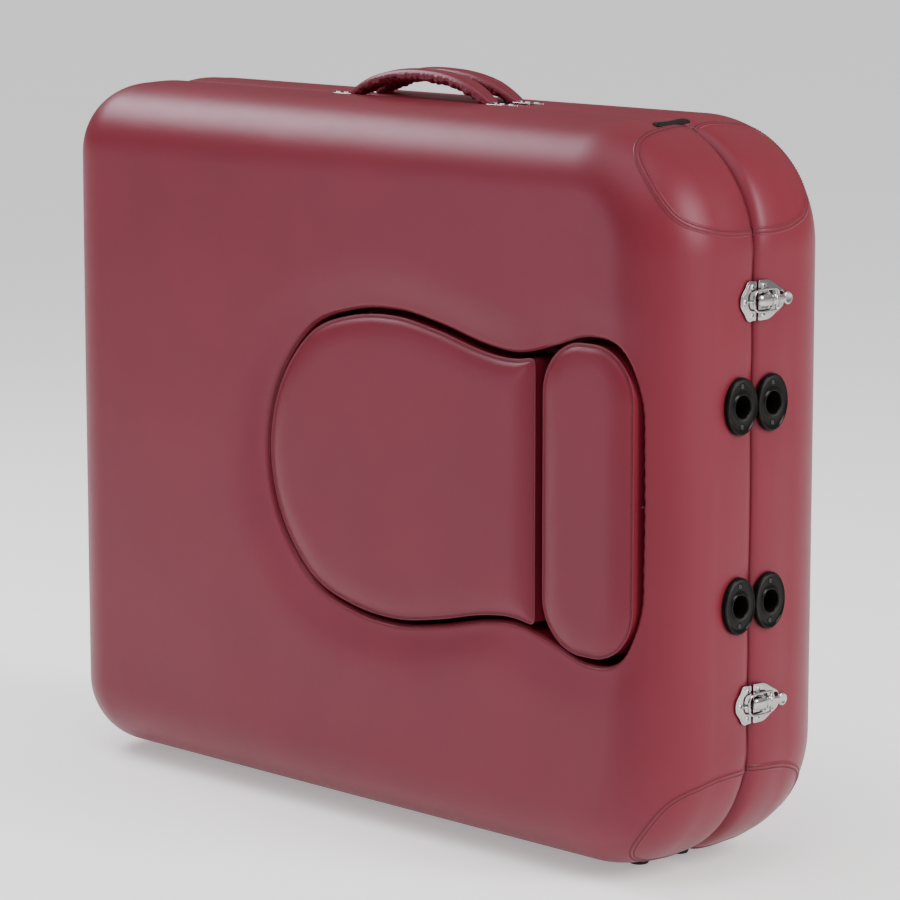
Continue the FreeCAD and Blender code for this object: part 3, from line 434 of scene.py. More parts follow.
def opening_outline(grow=0.0):
    """The opening's closed outline (x, z) as dense points, grown by an offset."""
    upper = [(x - SHIFT, OPEN_Z + h) for x, h in OUTLINE]
    lower = [(x, 2 * OPEN_Z - z) for x, z in reversed(upper[1:])]
    p = even(smooth_loop(upper + lower, 30), 2.0, closed=True)
    if grow:
        t = frames_along(p, closed=True)
        p = p + np.stack([-t[:, 1], t[:, 0]], 1) * grow
    return p


OPENING = opening_outline()
OPEN_MIDDLE = np.array((160.0, OPEN_Z))  # every ray from here meets the opening's outline once


def opening_distance(x, z):
    """Distance from face points to the nearest point of the opening's outline."""
    flat_x, flat_z = np.ravel(x), np.ravel(z)
    best = np.full(flat_x.shape, 1e9)
    for px, pz in OPENING:
        best = np.minimum(best, (flat_x - px) ** 2 + (flat_z - pz) ** 2)
    return np.sqrt(best).reshape(np.shape(x))


def ray_hit(loop_points, centre, directions):
    """Where rays from a centre meet a closed loop that every ray meets once."""
    rel = loop_points - centre
    ang = np.unwrap(np.arctan2(rel[:, 1], rel[:, 0]))
    rad = np.hypot(rel[:, 0], rel[:, 1])
    order = np.argsort(ang % (2 * math.pi))
    a = (ang % (2 * math.pi))[order]
    r = rad[order]
    a = np.concatenate([a - 2 * math.pi, a, a + 2 * math.pi])
    r = np.concatenate([r, r, r])
    want = np.arctan2(directions[:, 1], directions[:, 0]) % (2 * math.pi)
    unit = directions / np.linalg.norm(directions, axis=1)[:, None]
    return centre + np.interp(want, a, r)[:, None] * unit


def face_depth(e):
    """The cover's depth at a distance inside its edge."""
    u = np.clip(1 - e / ROUND_WIDE, 0, 1)
    return SIDE_TOP + ROUND_DEEP * (1 - u ** ROUND_POWER) ** (1 / ROUND_POWER)


def crown(x, z):
    """The padding's extra height towards the middle of a face."""
    u = np.clip(1 - (x / CROWN_LONG) ** 2, 0, 1) * np.clip(1 - ((z - MID_Z) / CROWN_TALL) ** 2, 0, 1)
    return CROWN_RISE * u ** 0.8


PARTING_FALL = {HEAD: 0.8, FOOT: 1.3}  # how strongly each half's side falls away at the parting edge


class Skin:
    """A half's cover as a grid: rows run round the case, columns from the hem over the side to the face."""

    LIP_ROUND, DIP, DIP_REACH = 4.0, 8.0, 34.0
    HEM = ((33.0, 2.2), (28, 1.6), (21, 1.5), (14, 1.5), (9.5, 1.55), (6.9, 1.55))  # (inside the rim, depth)
    SIDE_DEPTHS = np.array((0.9, 2.0, 3.6, 5.6, 8, 11, 14.5, 19, 24, 30, 37, 45))
    EDGE, LEAF_EDGE = 1.6, 1.55  # the parting edge's depth, and the hem's beside the hinge's leaf
    LEAF_END = -440.0  # the leaf lies nearer the hinge end than this
    PARTING_COLUMN = len(HEM) - 1  # the last column of the hem, where lengths over the section start
    SOCKET_HOLE = 17.0  # radius left open in the cover behind an outlet's flange
    WALL_FOOT = 66.5  # the lining lies on the deck's ledge, under the plugs' boards

    def __init__(self, side, step, along):
        self.side = side
        self.opening = side == HEAD
        self.rim, self.normal = case_outline(step)
        self.rows = len(self.rim)
        self.run = np.arange(self.rows) * step
        self.parts = []
        centre = OPEN_MIDDLE if self.opening else np.array((0.0, MID_Z))
        aim = self.rim - centre
        inner = ray_hit(OPENING, centre, aim) if self.opening else centre + aim * 0.03
        self._side_wall()
        self.first_face = len(self.parts)
        top = self._face(inner, along)
        self.lip = len(self.parts) - 1
        if self.opening:
            self._well(inner, centre, top)
        self.x, self.z, self.d = np.stack(self.parts, 1).transpose(2, 0, 1)
        self.columns = self.x.shape[1]
        self._dimples()
        self._waves()
        self.points = np.stack([self.x, self.side * self.d, self.z], 2)
        self._frames()

    def _column(self, at, depth):
        """Adds a column of points: an (x, z) for every row, and one depth or a depth for every row."""
        self.parts.append(np.column_stack([at, np.broadcast_to(depth, self.rows)]))

    def _side_wall(self):
        """The hem folded in behind the parting edge, then the side: tucked in at the edge, full halfway."""
        hinge_side = np.clip((self.rim[:, 0] - self.LEAF_END) / 20, 0, 1)  # 0 where the leaf lies
        for e, w in self.HEM:
            depth = self.LEAF_EDGE + (w - self.LEAF_EDGE) * hinge_side if e < 28 else w
            self._column(self.rim - self.normal * e, depth)
        depths = self.SIDE_DEPTHS
        bulge = 1.4 * np.sin(np.pi * np.clip(depths / SIDE_TOP, 0, 1))
        tuck = 4.2 * np.exp(-depths / 3.6) + 2.2 * np.exp(-depths / 14) - bulge
        # the valley between the halves deepens round the latch corners
        bend = 1 + 0.9 * np.clip(2 * self.normal[:, 0] * np.abs(self.normal[:, 1]), 0, 1)
        for e, w in zip(tuck * PARTING_FALL[self.side], depths):
            fall = e * np.where(e > 0, bend, 1)
            depth = max(w, self.EDGE) + (1 - hinge_side) * max(0, self.EDGE - w)
            self._column(self.rim - self.normal * fall[:, None], depth)

    def _face(self, inner, along):
        """The rounding and the face, to the opening's lip or the middle; returns the inner end's depth."""
        fine = 0.5 - 0.5 * np.cos(np.linspace(0, math.pi, 500))  # crowded towards both ends
        x = self.rim[:, :1] + (inner - self.rim)[:, :1] * fine
        z = self.rim[:, 1:] + (inner - self.rim)[:, 1:] * fine
        depth = face_depth(np.maximum(edge_distance(x, z), 0)) + crown(x, z)
        if self.opening:
            q = opening_distance(x[:, ::5], z[:, ::5])
            q = np.stack([np.interp(fine, fine[::5], row) for row in q])
            q[:, -1] = 0
            bite = np.maximum(0, self.LIP_ROUND - q)
            roll = self.LIP_ROUND - np.sqrt(np.maximum(0, self.LIP_ROUND ** 2 - bite ** 2))
            shallow = 1 - 0.55 * np.clip((x - 300) / 110, 0, 1)  # the lip stays high beside the end wall
            depth = depth - roll - self.DIP * shallow * np.exp(-(q / self.DIP_REACH) ** 2 * 1.3)
        seg = np.sqrt(np.diff(x, axis=1) ** 2 + np.diff(z, axis=1) ** 2 + np.diff(depth, axis=1) ** 2)
        run = np.concatenate([np.zeros((self.rows, 1)), np.cumsum(seg, 1)], 1)
        share = np.linspace(0, 1, along)
        # columns crowd gently towards both ends of a section, where it bends most
        share = share - 0.10 * np.sin(2 * np.pi * share) / (2 * np.pi) * 4
        rows = [[np.interp(share * r[-1], r, c) for c in (a, b, w)] for r, a, b, w in zip(run, x, z, depth)]
        columns = np.array(rows).transpose(2, 0, 1)
        self.parts += list(columns)
        return columns[-1][:, 2]

    def _well(self, inner, centre, top):
        """The lip rolls over into the well, and the well's lining runs down to the deck's ledge."""
        inward = centre - inner
        inward = inward / np.linalg.norm(inward, axis=1)[:, None]
        for reach, drop in ((0.9, 0.5), (1.6, 1.4), (2.0, 2.8)):
            self._column(inner + inward * reach, top - drop)
        for s in np.arange(1, 15) / 14:
            pull = 2.0 - 2.6 * math.sin(math.pi * s)  # the lining bellies out a little
            self._column(inner + inward * pull, top - 2.8 + (self.WALL_FOOT - top + 2.8) * s)
        for reach in (5.0, 10.0, 14.5):
            self._column(inner + inward * reach, self.WALL_FOOT)

    def _dimples(self):
        """The end wall is drawn in round each outlet and latch plate: (depth, z, how far, how widely)."""
        pulls = [(OUTLET_DEPTH, z, 2.1, 40.0) for z in OUTLET_Z]
        pulls += [(13.0, z, 1.7, 34.0) for z in LATCH_Z.values()]
        on_end = self.x > X_HIGH - 30
        for w, z, pull, reach in pulls:
            r2 = (self.d - w) ** 2 + (self.z - z) ** 2
            self.x = self.x - np.where(on_end, pull * np.exp(-r2 / reach ** 2), 0)

    def _waves(self):
        """Long shallow undulation of the padding."""
        wave = np.zeros(self.x.shape)
        for i in range(self.rows):
            for k in range(self.first_face + 8, self.lip):
                wave[i, k] = noise.noise(Vector((self.x[i, k] / 120, self.z[i, k] / 120, self.side * 3.1)))
        rise = np.clip((edge_distance(self.x, self.z) - 12) / 60, 0, 1)
        self.d = self.d + wave * 0.7 * rise

    def _frames(self):
        """Outward normals of the grid, and lengths over each section from the parting edge."""
        p = self.points
        along = np.roll(p, -1, 0) - np.roll(p, 1, 0)
        across = np.gradient(p, axis=1)
        n = np.cross(along, across)
        n /= np.maximum(np.linalg.norm(n, axis=2), 1e-9)[:, :, None]
        centre = np.array((0, 0, MID_Z))
        flip = np.sign(np.sum(n * (p - centre), axis=2))
        self.normals = n * np.where(flip == 0, 1, flip)[:, :, None]
        steps = np.linalg.norm(np.diff(p, axis=1), axis=2)
        self.section = np.concatenate([np.zeros((self.rows, 1)), np.cumsum(steps, 1)], 1)
        self.section = self.section - self.section[:, self.PARTING_COLUMN:self.PARTING_COLUMN + 1]

    def spot(self, run, over):
        """The surface point and normal at a run along the rim and a length over the section."""
        i = (run / (self.run[1] - self.run[0])) % self.rows
        a, b, f = int(i) % self.rows, (int(i) + 1) % self.rows, i - int(i)
        found = []
        for row in (a, b):
            k = [np.interp(over, self.section[row], self.points[row][:, c]) for c in range(3)]
            n = [np.interp(over, self.section[row], self.normals[row][:, c]) for c in range(3)]
            found.append((np.array(k), np.array(n)))
        p = found[0][0] * (1 - f) + found[1][0] * f
        n = found[0][1] * (1 - f) + found[1][1] * f
        return p, n / np.linalg.norm(n)

    def mesh(self, name, material, body, nodes):
        """The cover's object, with round openings for the outlets' sockets."""
        keep = []
        for quad in grid_faces(self.rows, self.columns, True):
            keep.append(quad if self.side == FOOT else quad[::-1])
        flat = self.points.reshape(-1, 3)
        mids = flat[np.array(keep)].mean(axis=1)
        holes = np.zeros(len(keep), bool)
        for z in OUTLET_Z:
            r = np.hypot(np.abs(mids[:, 1]) - OUTLET_DEPTH, mids[:, 2] - z)
            holes |= (r < self.SOCKET_HOLE) & (mids[:, 0] > X_HIGH - 25)
        faces = [f for f, gone in zip(keep, holes) if not gone]
        verts = list(flat)
        if self.side == FOOT:
            centre = len(verts)
            verts.append(np.array((0, self.side * (HALF_DEPTH + CROWN_RISE), MID_Z)))
            last = self.columns - 1
            for i in range(self.rows):
                j = (i + 1) % self.rows
                faces.append((i * self.columns + last, centre, j * self.columns + last))
        return make(name, (verts, faces), material, body, node=nodes)


def seam_strip(surface_points, surface_normals, half=3.9, lift=0.8):
    """A lapped seam: a low strip with a sharp step on one edge and a soft fall on the other."""
    p, n = np.array(surface_points), np.array(surface_normals)
    t = frames_along(p)
    side = np.cross(n, t)
    side /= np.linalg.norm(side, axis=1)[:, None]
    profile = ((-half - 0.6, -0.5), (-half - 0.2, lift * 0.5), (-half + 0.4, lift * 0.9), (-half + 1.2, lift),
               (-half + 1.6, lift * 0.45), (-half + 2.0, lift), (0, lift * 1.05), (half - 2.2, lift * 0.85),
               (half - 1.8, lift * 0.4), (half - 1.4, lift * 0.75), (half - 0.2, lift * 0.3),
               (half + 1.2, -0.3))
    rows = [[p[i] + side[i] * u + n[i] * h for u, h in profile] for i in range(len(p))]
    verts = [v for row in rows for v in row]
    return verts, grid_faces(len(p), len(profile), False), side


def stitches(points, normals, length=2.3, pitch=3.3, radius=0.42):
    """Short rounded threads laid along a line on a surface."""
    p, n = np.array(points), np.array(normals)
    run = np.concatenate([[0], np.cumsum(np.linalg.norm(np.diff(p, axis=0), axis=1))])
    pile = Pile()
    at = pitch / 2
    while at + length / 2 < run[-1]:
        ends = [np.array([np.interp(at + s, run, p[:, c]) for c in range(3)]) for s in
                (-length / 2, -length / 3, length / 3, length / 2)]
        up = np.array([np.interp(at, run, n[:, c]) for c in range(3)])
        radii = [radius * 0.45, radius, radius, radius * 0.45]
        sunk = [e + up * h for e, h in zip(ends, (-0.15, 0.12, 0.12, -0.15))]
        pile.take(tube(sunk, radii, 6, up=up))
        at += pitch
    return pile.verts, pile.faces


# ---- covers and their seams
STEP = 4.0
ALONG = 104
SKINS = {}
for half_side in (HEAD, FOOT):
    h = NAMES[half_side]
    skin = Skin(half_side, STEP, ALONG)
    SKINS[half_side] = skin
    stands_for = [h + "_cover", h + "_foam_pad", h + "_side_padding"]
    cover = skin.mesh(h + "_cover_skin", COVER, h + "_half", stands_for)

# corner patches: (run along the rim from the latch corner, length over the section from the parting edge)
PATCH = ((42, 0), (44, 26), (48, 54), (53, 78), (61, 95), (74, 106), (91, 112), (112, 114), (133, 111),
         (152, 102), (167, 86), (177, 62), (181, 34), (181, 0))
TOP_RUN = X_HIGH - LATCH_CORNER  # run from mid top to the latch corner's start
# the bottom corner runs from the end wall to the underside, so its patch is the top one reversed
BOTTOM_RUN = TOP_RUN + math.pi * LATCH_CORNER + (Z_HIGH - Z_LOW) - 2 * LATCH_CORNER
for half_side, skin in SKINS.items():
    h = NAMES[half_side]
    for place, to_run in (("top", lambda s: TOP_RUN + s), ("bottom", lambda s: BOTTOM_RUN - s)):
        path = smooth_path(PATCH, 2.5)
        spots = [skin.spot(to_run(s), max(o, 0.3)) for s, o in path]
        pts, nrm = [a for a, _ in spots], [b for _, b in spots]
        verts, faces, across = seam_strip(pts, nrm)
        make(f"{h}_{place}_corner_seam", (verts, faces), COVER, h + "_half")
        threads = Pile()
        for offset in (-2.3, 2.1):
            line = [p + c * offset + n * 0.75 for p, c, n in zip(pts, across, nrm)]
            threads.take(stitches(line, nrm))
        make(f"{h}_{place}_corner_stitches", threads, THREAD, h + "_half")


def lip_welt():
    """The thin raised cord round the opening's lip, and the seam down the middle of the well's end wall."""
    skin = SKINS[HEAD]
    p = even(skin.points[:, skin.lip, :], 3.0, closed=True)
    cord = tube(p, 0.75, 8, closed=True, up=Y_AXIS)
    make("opening_welt", cord, COVER, "head_half")
    end = OPENING[:, 0].max()
    join = [(end - 0.6, -w, OPEN_Z + 2) for w in np.linspace(72, 124, 14)]
    # painted shade: the seam's tube is the darkened leather, standing for the shade in its crease
    make("well_wall_seam", tube(join, 0.8, 8), CREASE_SHADE, "head_half")


lip_welt()


# ---- plugs
PLUG_GAP = 7.6  # from the opening's seam to a plug's seam
BELLY_CUT = 293.5 - SHIFT  # the straight side of the belly plug
PILL_LOW, PILL_HIGH, PILL_HALF, PILL_CORNER = 302.0 - SHIFT, 427.5 - SHIFT, 158.5, 55.0
PLUG_FOOT, PLUG_TOP = 73.6, 138.0  # depths of a cushion's underside and of the middle of its top


def relaxed(points, rounds):
    """A closed loop with its corners rounded by repeated averaging."""
    p = np.array(points)
    for _ in range(rounds):
        p = 0.25 * np.roll(p, 1, 0) + 0.5 * p + 0.25 * np.roll(p, -1, 0)
    return p


def belly_outline():
    """The opening's outline drawn in by the gap and cut off straight beside the chest plug."""
    p = opening_outline(-PLUG_GAP)
    inside = p[:, 0] < BELLY_CUT
    first = next(i for i in range(len(p)) if inside[i] and not inside[i - 1])
    run = np.roll(p, -first, 0)[:inside.sum()]
    return even(relaxed(even(run, 1.5, closed=True), 34), 2.5, closed=True)


def pill_outline():
    """A rounded rectangle standing upright."""
    r, pts = PILL_CORNER, []
    right, left, high, low = PILL_HIGH - r, PILL_LOW + r, OPEN_Z + PILL_HALF - r, OPEN_Z - PILL_HALF + r
    for cx, cz, start in ((right, high, 90), (right, low, 0), (left, low, -90), (left, high, -180)):
        for a in np.linspace(math.radians(start), math.radians(start - 90), 30):
            pts.append((cx + r * math.cos(a), cz + r * math.sin(a)))
    return even(np.array(pts), 2.5, closed=True)


def soft_distance(points, edge):
    """How far points lie from a closed edge, eased together where two sides of the edge are near."""
    step = np.linalg.norm(edge[1] - edge[0])
    gaps = np.linalg.norm(points[:, None, :] - edge[None, :, :], axis=2)
    return (2 / math.pi * np.sum(step / np.maximum(gaps, 0.5) ** 4, axis=1)) ** (-1 / 3)


def plug(name, outline, top, pillow, reach, centre):
    """A cushion with a straight side panel, a seam round its top edge and a pillowed top panel."""
    p = outline
    area = np.sum(p[:, 0] * np.roll(p[:, 1], -1) - p[:, 1] * np.roll(p[:, 0], -1)) / 2
    if area < 0:
        p = p[::-1]
    t = frames_along(p, closed=True)
    n = np.stack([t[:, 1], -t[:, 0]], 1)
    c = np.array(centre)
    aim = c - p
    far = np.linalg.norm(aim, axis=1)[:, None]
    aim = aim / far
    slant = np.maximum(0.5, -np.sum(aim * n, axis=1))[:, None]
    rows = len(p)
    seam_depth = top - pillow
    cols = []

    def ring(inset, depth):
        """A column of points inside the outline at one depth."""
        q = p + aim * inset / slant if inset > 0 else p - n * inset
        cols.append(np.stack([q[:, 0], -np.broadcast_to(depth, rows), q[:, 1]], 1))

    def panel(q):
        """The pillowed top's depth at points."""
        share = np.clip(soft_distance(q, p) / reach, 0, 1)
        wave = np.array([0.6 * noise.noise(Vector((a / 80, b / 80, 5.0))) for a, b in q])
        return seam_depth + 0.3 + (pillow + 0.8) * np.sin(share * math.pi / 2) ** 0.9 + wave * share

    ring(3.0, PLUG_FOOT)
    ring(0.8, PLUG_FOOT + 0.6)
    for s in np.linspace(0, 1, 14):
        ring(0.9 - 1.0 * math.sin(math.pi * s) + 0.4 * s, PLUG_FOOT + 2 + (seam_depth - PLUG_FOOT - 4.6) * s)
    # the seam: a narrow raised edge, then the line where the top panel is stitched down
    for inset, rise in ((1.1, -1.3), (0.4, -0.8), (-0.3, -0.3), (-0.3, 0.4), (0.4, 0.75), (1.2, 0.6),
                        (1.7, 0.15), (2.4, 0.35), (3.0, 0.2)):
        ring(inset, seam_depth + rise)
    edge = p + aim * 4.4 / slant
    for s in 1 - (1 - np.linspace(0, 1, 44)[:-1]) ** 1.6:
        q = edge + (c - edge) * s
        cols.append(np.stack([q[:, 0], -panel(q), q[:, 1]], 1))
    pts = np.stack(cols, 1)
    columns = pts.shape[1]
    verts = list(pts.reshape(-1, 3))
    faces = grid_faces(rows, columns, True)
    hub = len(verts)
    verts.append(np.array((c[0], -panel(c[None, :])[0], c[1])))
    base = len(verts)
    verts.append(np.array((c[0], -PLUG_FOOT, c[1])))
    for i in range(rows):
        j = (i + 1) % rows
        faces.append((i * columns + columns - 1, hub, j * columns + columns - 1))
        faces.append((j * columns, base, i * columns))
    body = name + "_plug"
    cushion = make(body + "_cover", (verts, faces), PLUG, body, node=body + "_cushion")
    outward(cushion)
    line = [np.array((q[0], -(seam_depth + 0.25), q[1])) for q in p + aim * 2.7 / slant]
    up = [np.array((0, -1.0, 0))] * len(line)
    line.append(line[0])
    up.append(up[0])
    make(body + "_stitches", stitches(line, up, 2.3, 3.5), THREAD, body)


plug("belly", belly_outline(), PLUG_TOP, 7.0, 30.0, (120.0, OPEN_Z))
plug("chest", pill_outline(), PLUG_TOP, 8.0, 32.0, ((PILL_LOW + PILL_HIGH) / 2, OPEN_Z))


# ---- outlets
def cross_screw(at, axis, radius, rise):
    """A domed screw head with a cross slot: returns (metal piece, piece of painted shade for the slot)."""
    at, axis = np.array(at, float), np.array(axis, float)
    dome = [(0.0, rise), (radius * 0.45, rise * 0.92), (radius * 0.8, rise * 0.6), (radius, rise * 0.1),
            (radius, -0.8), (0.0, -0.8)]
    head = lathe(dome, at, axis, 20)
    u = np.cross(axis, (0.3, 0.5, 0.81))
    u /= np.linalg.norm(u)
    v = np.cross(axis, u)
    slots = Pile()
    for a, b in ((u, v), (v, u)):
        corner = [(-radius * 0.55, -radius * 0.13), (radius * 0.55, -radius * 0.13),
                  (radius * 0.55, radius * 0.13), (-radius * 0.55, radius * 0.13)]
        slots.take(plate(corner, rise * 0.3, rise * 1.03,
                          lambda s, t, h, a=a, b=b: at + a * s + b * t + axis * h))
    return head, (slots.verts, slots.faces)


def screws(stem, kinds, body, spots, axis, radius, rise, material=STEEL, node=None):
    """Screws at spots on a body: a piece of heads and, if kinds names a second, a piece of slots painted
    near-black as shade.
    """
    heads, slots = Pile(), Pile()
    for at in spots:
        head, slot = cross_screw(at, axis, radius, rise)
        heads.take(head)
        slots.take(slot)
    make(f"{stem}_{kinds[0]}", heads, material, body, node=node)
    # the slots are painted shade: near-black blocks where the recess would be shaded
    for kind in kinds[1:]:
        make(f"{stem}_{kind}", slots, RECESS_SHADE, body)


SOCKET_WALL, FLANGE_RIM, FLANGE_TALL, FLANGE_WIDE = 13.4, 25.0, 29.3, 22.2
BORE, BORE_END, SCREW_SPREAD = 11.3, -33.8, 20.3


def oval_lathe(profile, centre, sides=96):
    """A socket turned about X whose rim stretches from round at the socket's wall to the flange's oval."""
    verts = []
    for n in range(sides):
        w = 2 * math.pi * n / sides
        for r, h in profile:
            share = max(0.0, (r - SOCKET_WALL) / (FLANGE_RIM - SOCKET_WALL))
            base = min(r, SOCKET_WALL)
            wide = base + (FLANGE_WIDE - SOCKET_WALL) * share
            tall = base + (FLANGE_TALL - SOCKET_WALL) * share
            verts.append(np.array(centre) + np.array((h, wide * math.cos(w), tall * math.sin(w))))
    return verts, grid_faces(sides, len(profile), True)


def outlets(side):
    """Glossy oval flanges with a dished face, a ridged socket and two small sunk screws each."""
    h = NAMES[side]
    body = h + "_half"
    rings, spots = Pile(), []
    profile = [(BORE, BORE_END), (BORE, 3.2), (11.5, 4.3), (12.0, 4.8), (12.7, 4.85), (13.3, 4.5),
               (14.0, 3.9), (16, 3.65), (20.5, 3.6), (22.0, 3.8), (22.9, 4.4), (23.5, 4.7), (24.1, 4.6),
               (24.7, 3.9), (FLANGE_RIM, 2.6), (FLANGE_RIM, -0.8), (SOCKET_WALL, -0.8),
               (SOCKET_WALL, BORE_END), (BORE, BORE_END)]
    for z in OUTLET_Z:
        centre = (X_HIGH + FIT, side * OUTLET_DEPTH, z)
        rings.take(oval_lathe(profile, centre))
        for k in range(6):  # shallow ridges down the socket
            x = -5.0 - k * 3.6
            rings.take(lathe([(BORE, x - 0.7), (BORE - 0.4, x), (BORE, x + 0.7)], centre, X_AXIS, 48))
        for s in (-1, 1):
            spots.append((X_HIGH + 3.7, side * OUTLET_DEPTH, z + s * SCREW_SPREAD))
            rim = [(2.5, -0.3), (2.6, 0.35), (3.2, 0.5), (3.6, 0.1), (3.6, -0.3)]
            rings.take(lathe(rim, spots[-1], X_AXIS, 24))
    make(h + "_outlet_sockets", rings, BLACK, body, node=h + "_outlets")
    screws(h + "_outlet", ("bolts", "slots"), body, spots, X_AXIS, 2.4, 0.55, KNOB, h + "_outlet_screws")


# ---- latches
def mirrored(points):
    """A closed outline from its upper half, mirrored about the second coordinate."""
    upper = list(points)
    return upper + [(u, -v) for u, v in reversed(upper) if abs(v) > 1e-6]


def saddle(x, z, sections):
    """A domed strip along Y from sections of place, half width and rise, with a flat back and closed ends."""
    rows = []
    arc = np.linspace(-1.5, 1.5, 13)
    for u, half, rise in sections:
        dome = [(x + rise * max(0.0, math.cos(a)) ** 0.7, u, z + half * math.sin(a)) for a in arc]
        rows.append(dome + [(x - 0.9, u, z + half * share) for share in (0.9, 0, -0.9)])
    return ring_skin(rows)


LEVER_PIN, BAIL_PIN, PIN_RISE = 11.0, 23.0, 6.0  # the pins' places along Y and height over the plates
LEVER_BACK = 5.4  # the back of the hood and lever, over the plates


def latch(name):
    """A draw latch: keeper and hook on the head half; base, hood, lever and wire loop on the foot half."""
    z0 = LATCH_Z[name]
    x0 = X_HIGH + FIT
    place = lambda u, v, h: np.array((x0 + h, u, z0 + v))
    tag = name + "_latch"

    def pin(u, half, radius, sides):
        """A pin along Z at the pivots' height over the case."""
        return tube([(x0 + PIN_RISE, u, z0 - half), (x0 + PIN_RISE, u, z0 + half)], radius, sides, up=Y_AXIS)

    shield = smooth_loop(mirrored([(-24.6, 0), (-24.0, 5), (-21.5, 9.0), (-18.5, 12.5), (-15.0, 18.0),
                                   (-11, 20.3), (-6, 19.6), (-2.0, 19.2), (-1.6, 12)]), 6)
    keeper = Pile().take(plate(shield, 0, 1.5, place))
    inner = [(q[0] * 0.86 - 1.6, q[1] * 0.86) for q in shield]
    keeper.take(plate(inner, 1.2, 1.9, place))
    obj = make(tag + "_keeper_plate", keeper, CHROME, "head_half", node=tag + "_keeper")
    outward(bevel(obj, 0.45, 3))
    line = [(x0 + rise, u, z0) for rise, u in ((0.8, -15.0), (2.4, -13.6), (3.2, -11.0), (3.0, -6.5))]
    hook = tube(line, [5.6, 5.2, 4.4, 3.2], 14, flat=0.3)
    bevel(make(tag + "_hook_tongue", hook, CHROME, "head_half"), 0.2)
    base_shape = smooth_loop(mirrored([(1.8, 12), (2.0, 19.4), (8, 20.2), (16, 19.8), (22, 17.6), (29, 13.6),
                                       (36, 10.0), (39.6, 6.4), (40.3, 0)]), 6)
    base = Pile().take(plate(base_shape, 0, 1.5, place))
    for s in (-1, 1):
        ear = [(7.5, 0.5), (15.5, 0.5), (14.6, 6.6), (12.6, 8.3), (10.2, 8.3), (8.6, 6.6)]
        base.take(plate(ear, s * 6.6, s * 7.5, lambda u, h, t: np.array((x0 + h, u, z0 + t))))
    base.take(pin(LEVER_PIN, 8.2, 1.5, 14))
    obj = make(tag + "_base_plate", base, CHROME, "foot_half", node=tag + "_base")
    outward(bevel(obj, 0.4, 3))
    places = {"head": ((-8.2, 14.2), (-19.0, 0), (-8.2, -14.2)), "foot": ((8.2, 14.2), (8.2, -14.2))}
    for h, spots in places.items():
        spots = [(x0 + 1.7, u, z0 + v) for u, v in spots]
        screws(f"{tag}_{h}", ("screws", "slots"), h + "_half", spots, X_AXIS, 3.1, 1.5)
    hood = saddle(x0 + LEVER_BACK, z0, ((-2.5, 3.4, 1.0), (-1, 5.0, 1.9), (2, 5.9, 2.7), (6, 6.3, 3.1),
                                        (11, 6.4, 3.2), (15, 6.2, 2.9), (16.8, 6.0, 2.5), (17.2, 5.8, 0.8)))
    outward(make(tag + "_hood", hood, CHROME, "foot_half"))
    # the lever comes out from under the hood: a waist, and a round thumb pad
    arm = ((17.6, 5.6, 0.8), (18.8, 5.6, 0.8), (19.2, 5.8, 2.0), (23, 5.8, 2.2), (27, 5.2, 1.8),
           (31, 4.3, 1.5), (34, 4.2, 1.4), (37, 5.4, 1.4))
    lever = Pile().take(saddle(x0 + LEVER_BACK, z0, arm))
    pad = [(0, 1.5), (3.6, 1.5), (4.6, 1.9), (5.6, 1.9), (6.4, 1.4), (6.9, 0.6), (6.9, -0.3), (6.4, -0.9),
           (5, -1.1), (0, -1.1)]
    lever.take(lathe(pad, (x0 + LEVER_BACK, 40.5, z0), X_AXIS, 36))
    lever.take(pin(BAIL_PIN, 6.2, 2.3, 16))
    outward(make(tag + "_lever_arm", lever, CHROME, tag + "_lever", node=tag + "_lever"))
    # painted shade: a near-black strip stands for the shaded groove where the lever comes out from under the
    # hood
    groove = plate([(17.3, -5.2), (18.7, -5.2), (18.7, 5.2), (17.3, 5.2)], 5.0, 6.35, place)
    make(tag + "_lever_groove", groove, RECESS_SHADE, tag + "_lever")
    wire = smooth_loop(mirrored([(26.5, 0), (26.2, 6.5), (23.5, 10.2), (18, 11.0), (9, 11.2), (0, 11.0),
                                 (-6.5, 9.4), (-9.6, 5.2), (-10.0, 0)]), 6)
    path = [np.array((x0 + PIN_RISE, u, z0 + v)) for u, v in wire]
    bail = Pile().take(tube(path, 1.3, 12, closed=True, up=X_AXIS))
    bail.take(pin(BAIL_PIN, 10.6, 1.25, 12))
    outward(make(tag + "_wire_loop", bail, CHROME, tag + "_bail", node=tag + "_bail"))


# ---- handles
HANDLE_X, HANDLE_Z, HANDLE_RISE, HANDLE_REACH = 9.0, 772.5, 23.0, 106.0
HANDLE_DEPTH, HANDLE_HALF, HANDLE_THICK = 19.0, 12.0, 6.3
PLATE_START = 108.0  # from the handle's middle to where a plate's shape is drawn from


def handle_line(s, side):
    """The middle of a grip at -1 to +1 along it: position, upward direction and how far it narrows there."""
    rise = HANDLE_RISE * (1 - abs(s) ** 2.2) - 3.5 * abs(s) ** 5
    slope = -(HANDLE_RISE * 2.2 * abs(s) ** 1.2 + 17.5 * abs(s) ** 4) * math.copysign(1, s) / HANDLE_REACH
    up = np.array((-slope, 0, 1)) / math.hypot(1, slope)
    at = np.array((HANDLE_X + HANDLE_REACH * s, side * (HANDLE_DEPTH - 4.0 * (1 - s * s)), HANDLE_Z + rise))
    return at, up, 1 - 0.36 * max(0, (abs(s) - 0.6) / 0.4) ** 1.6


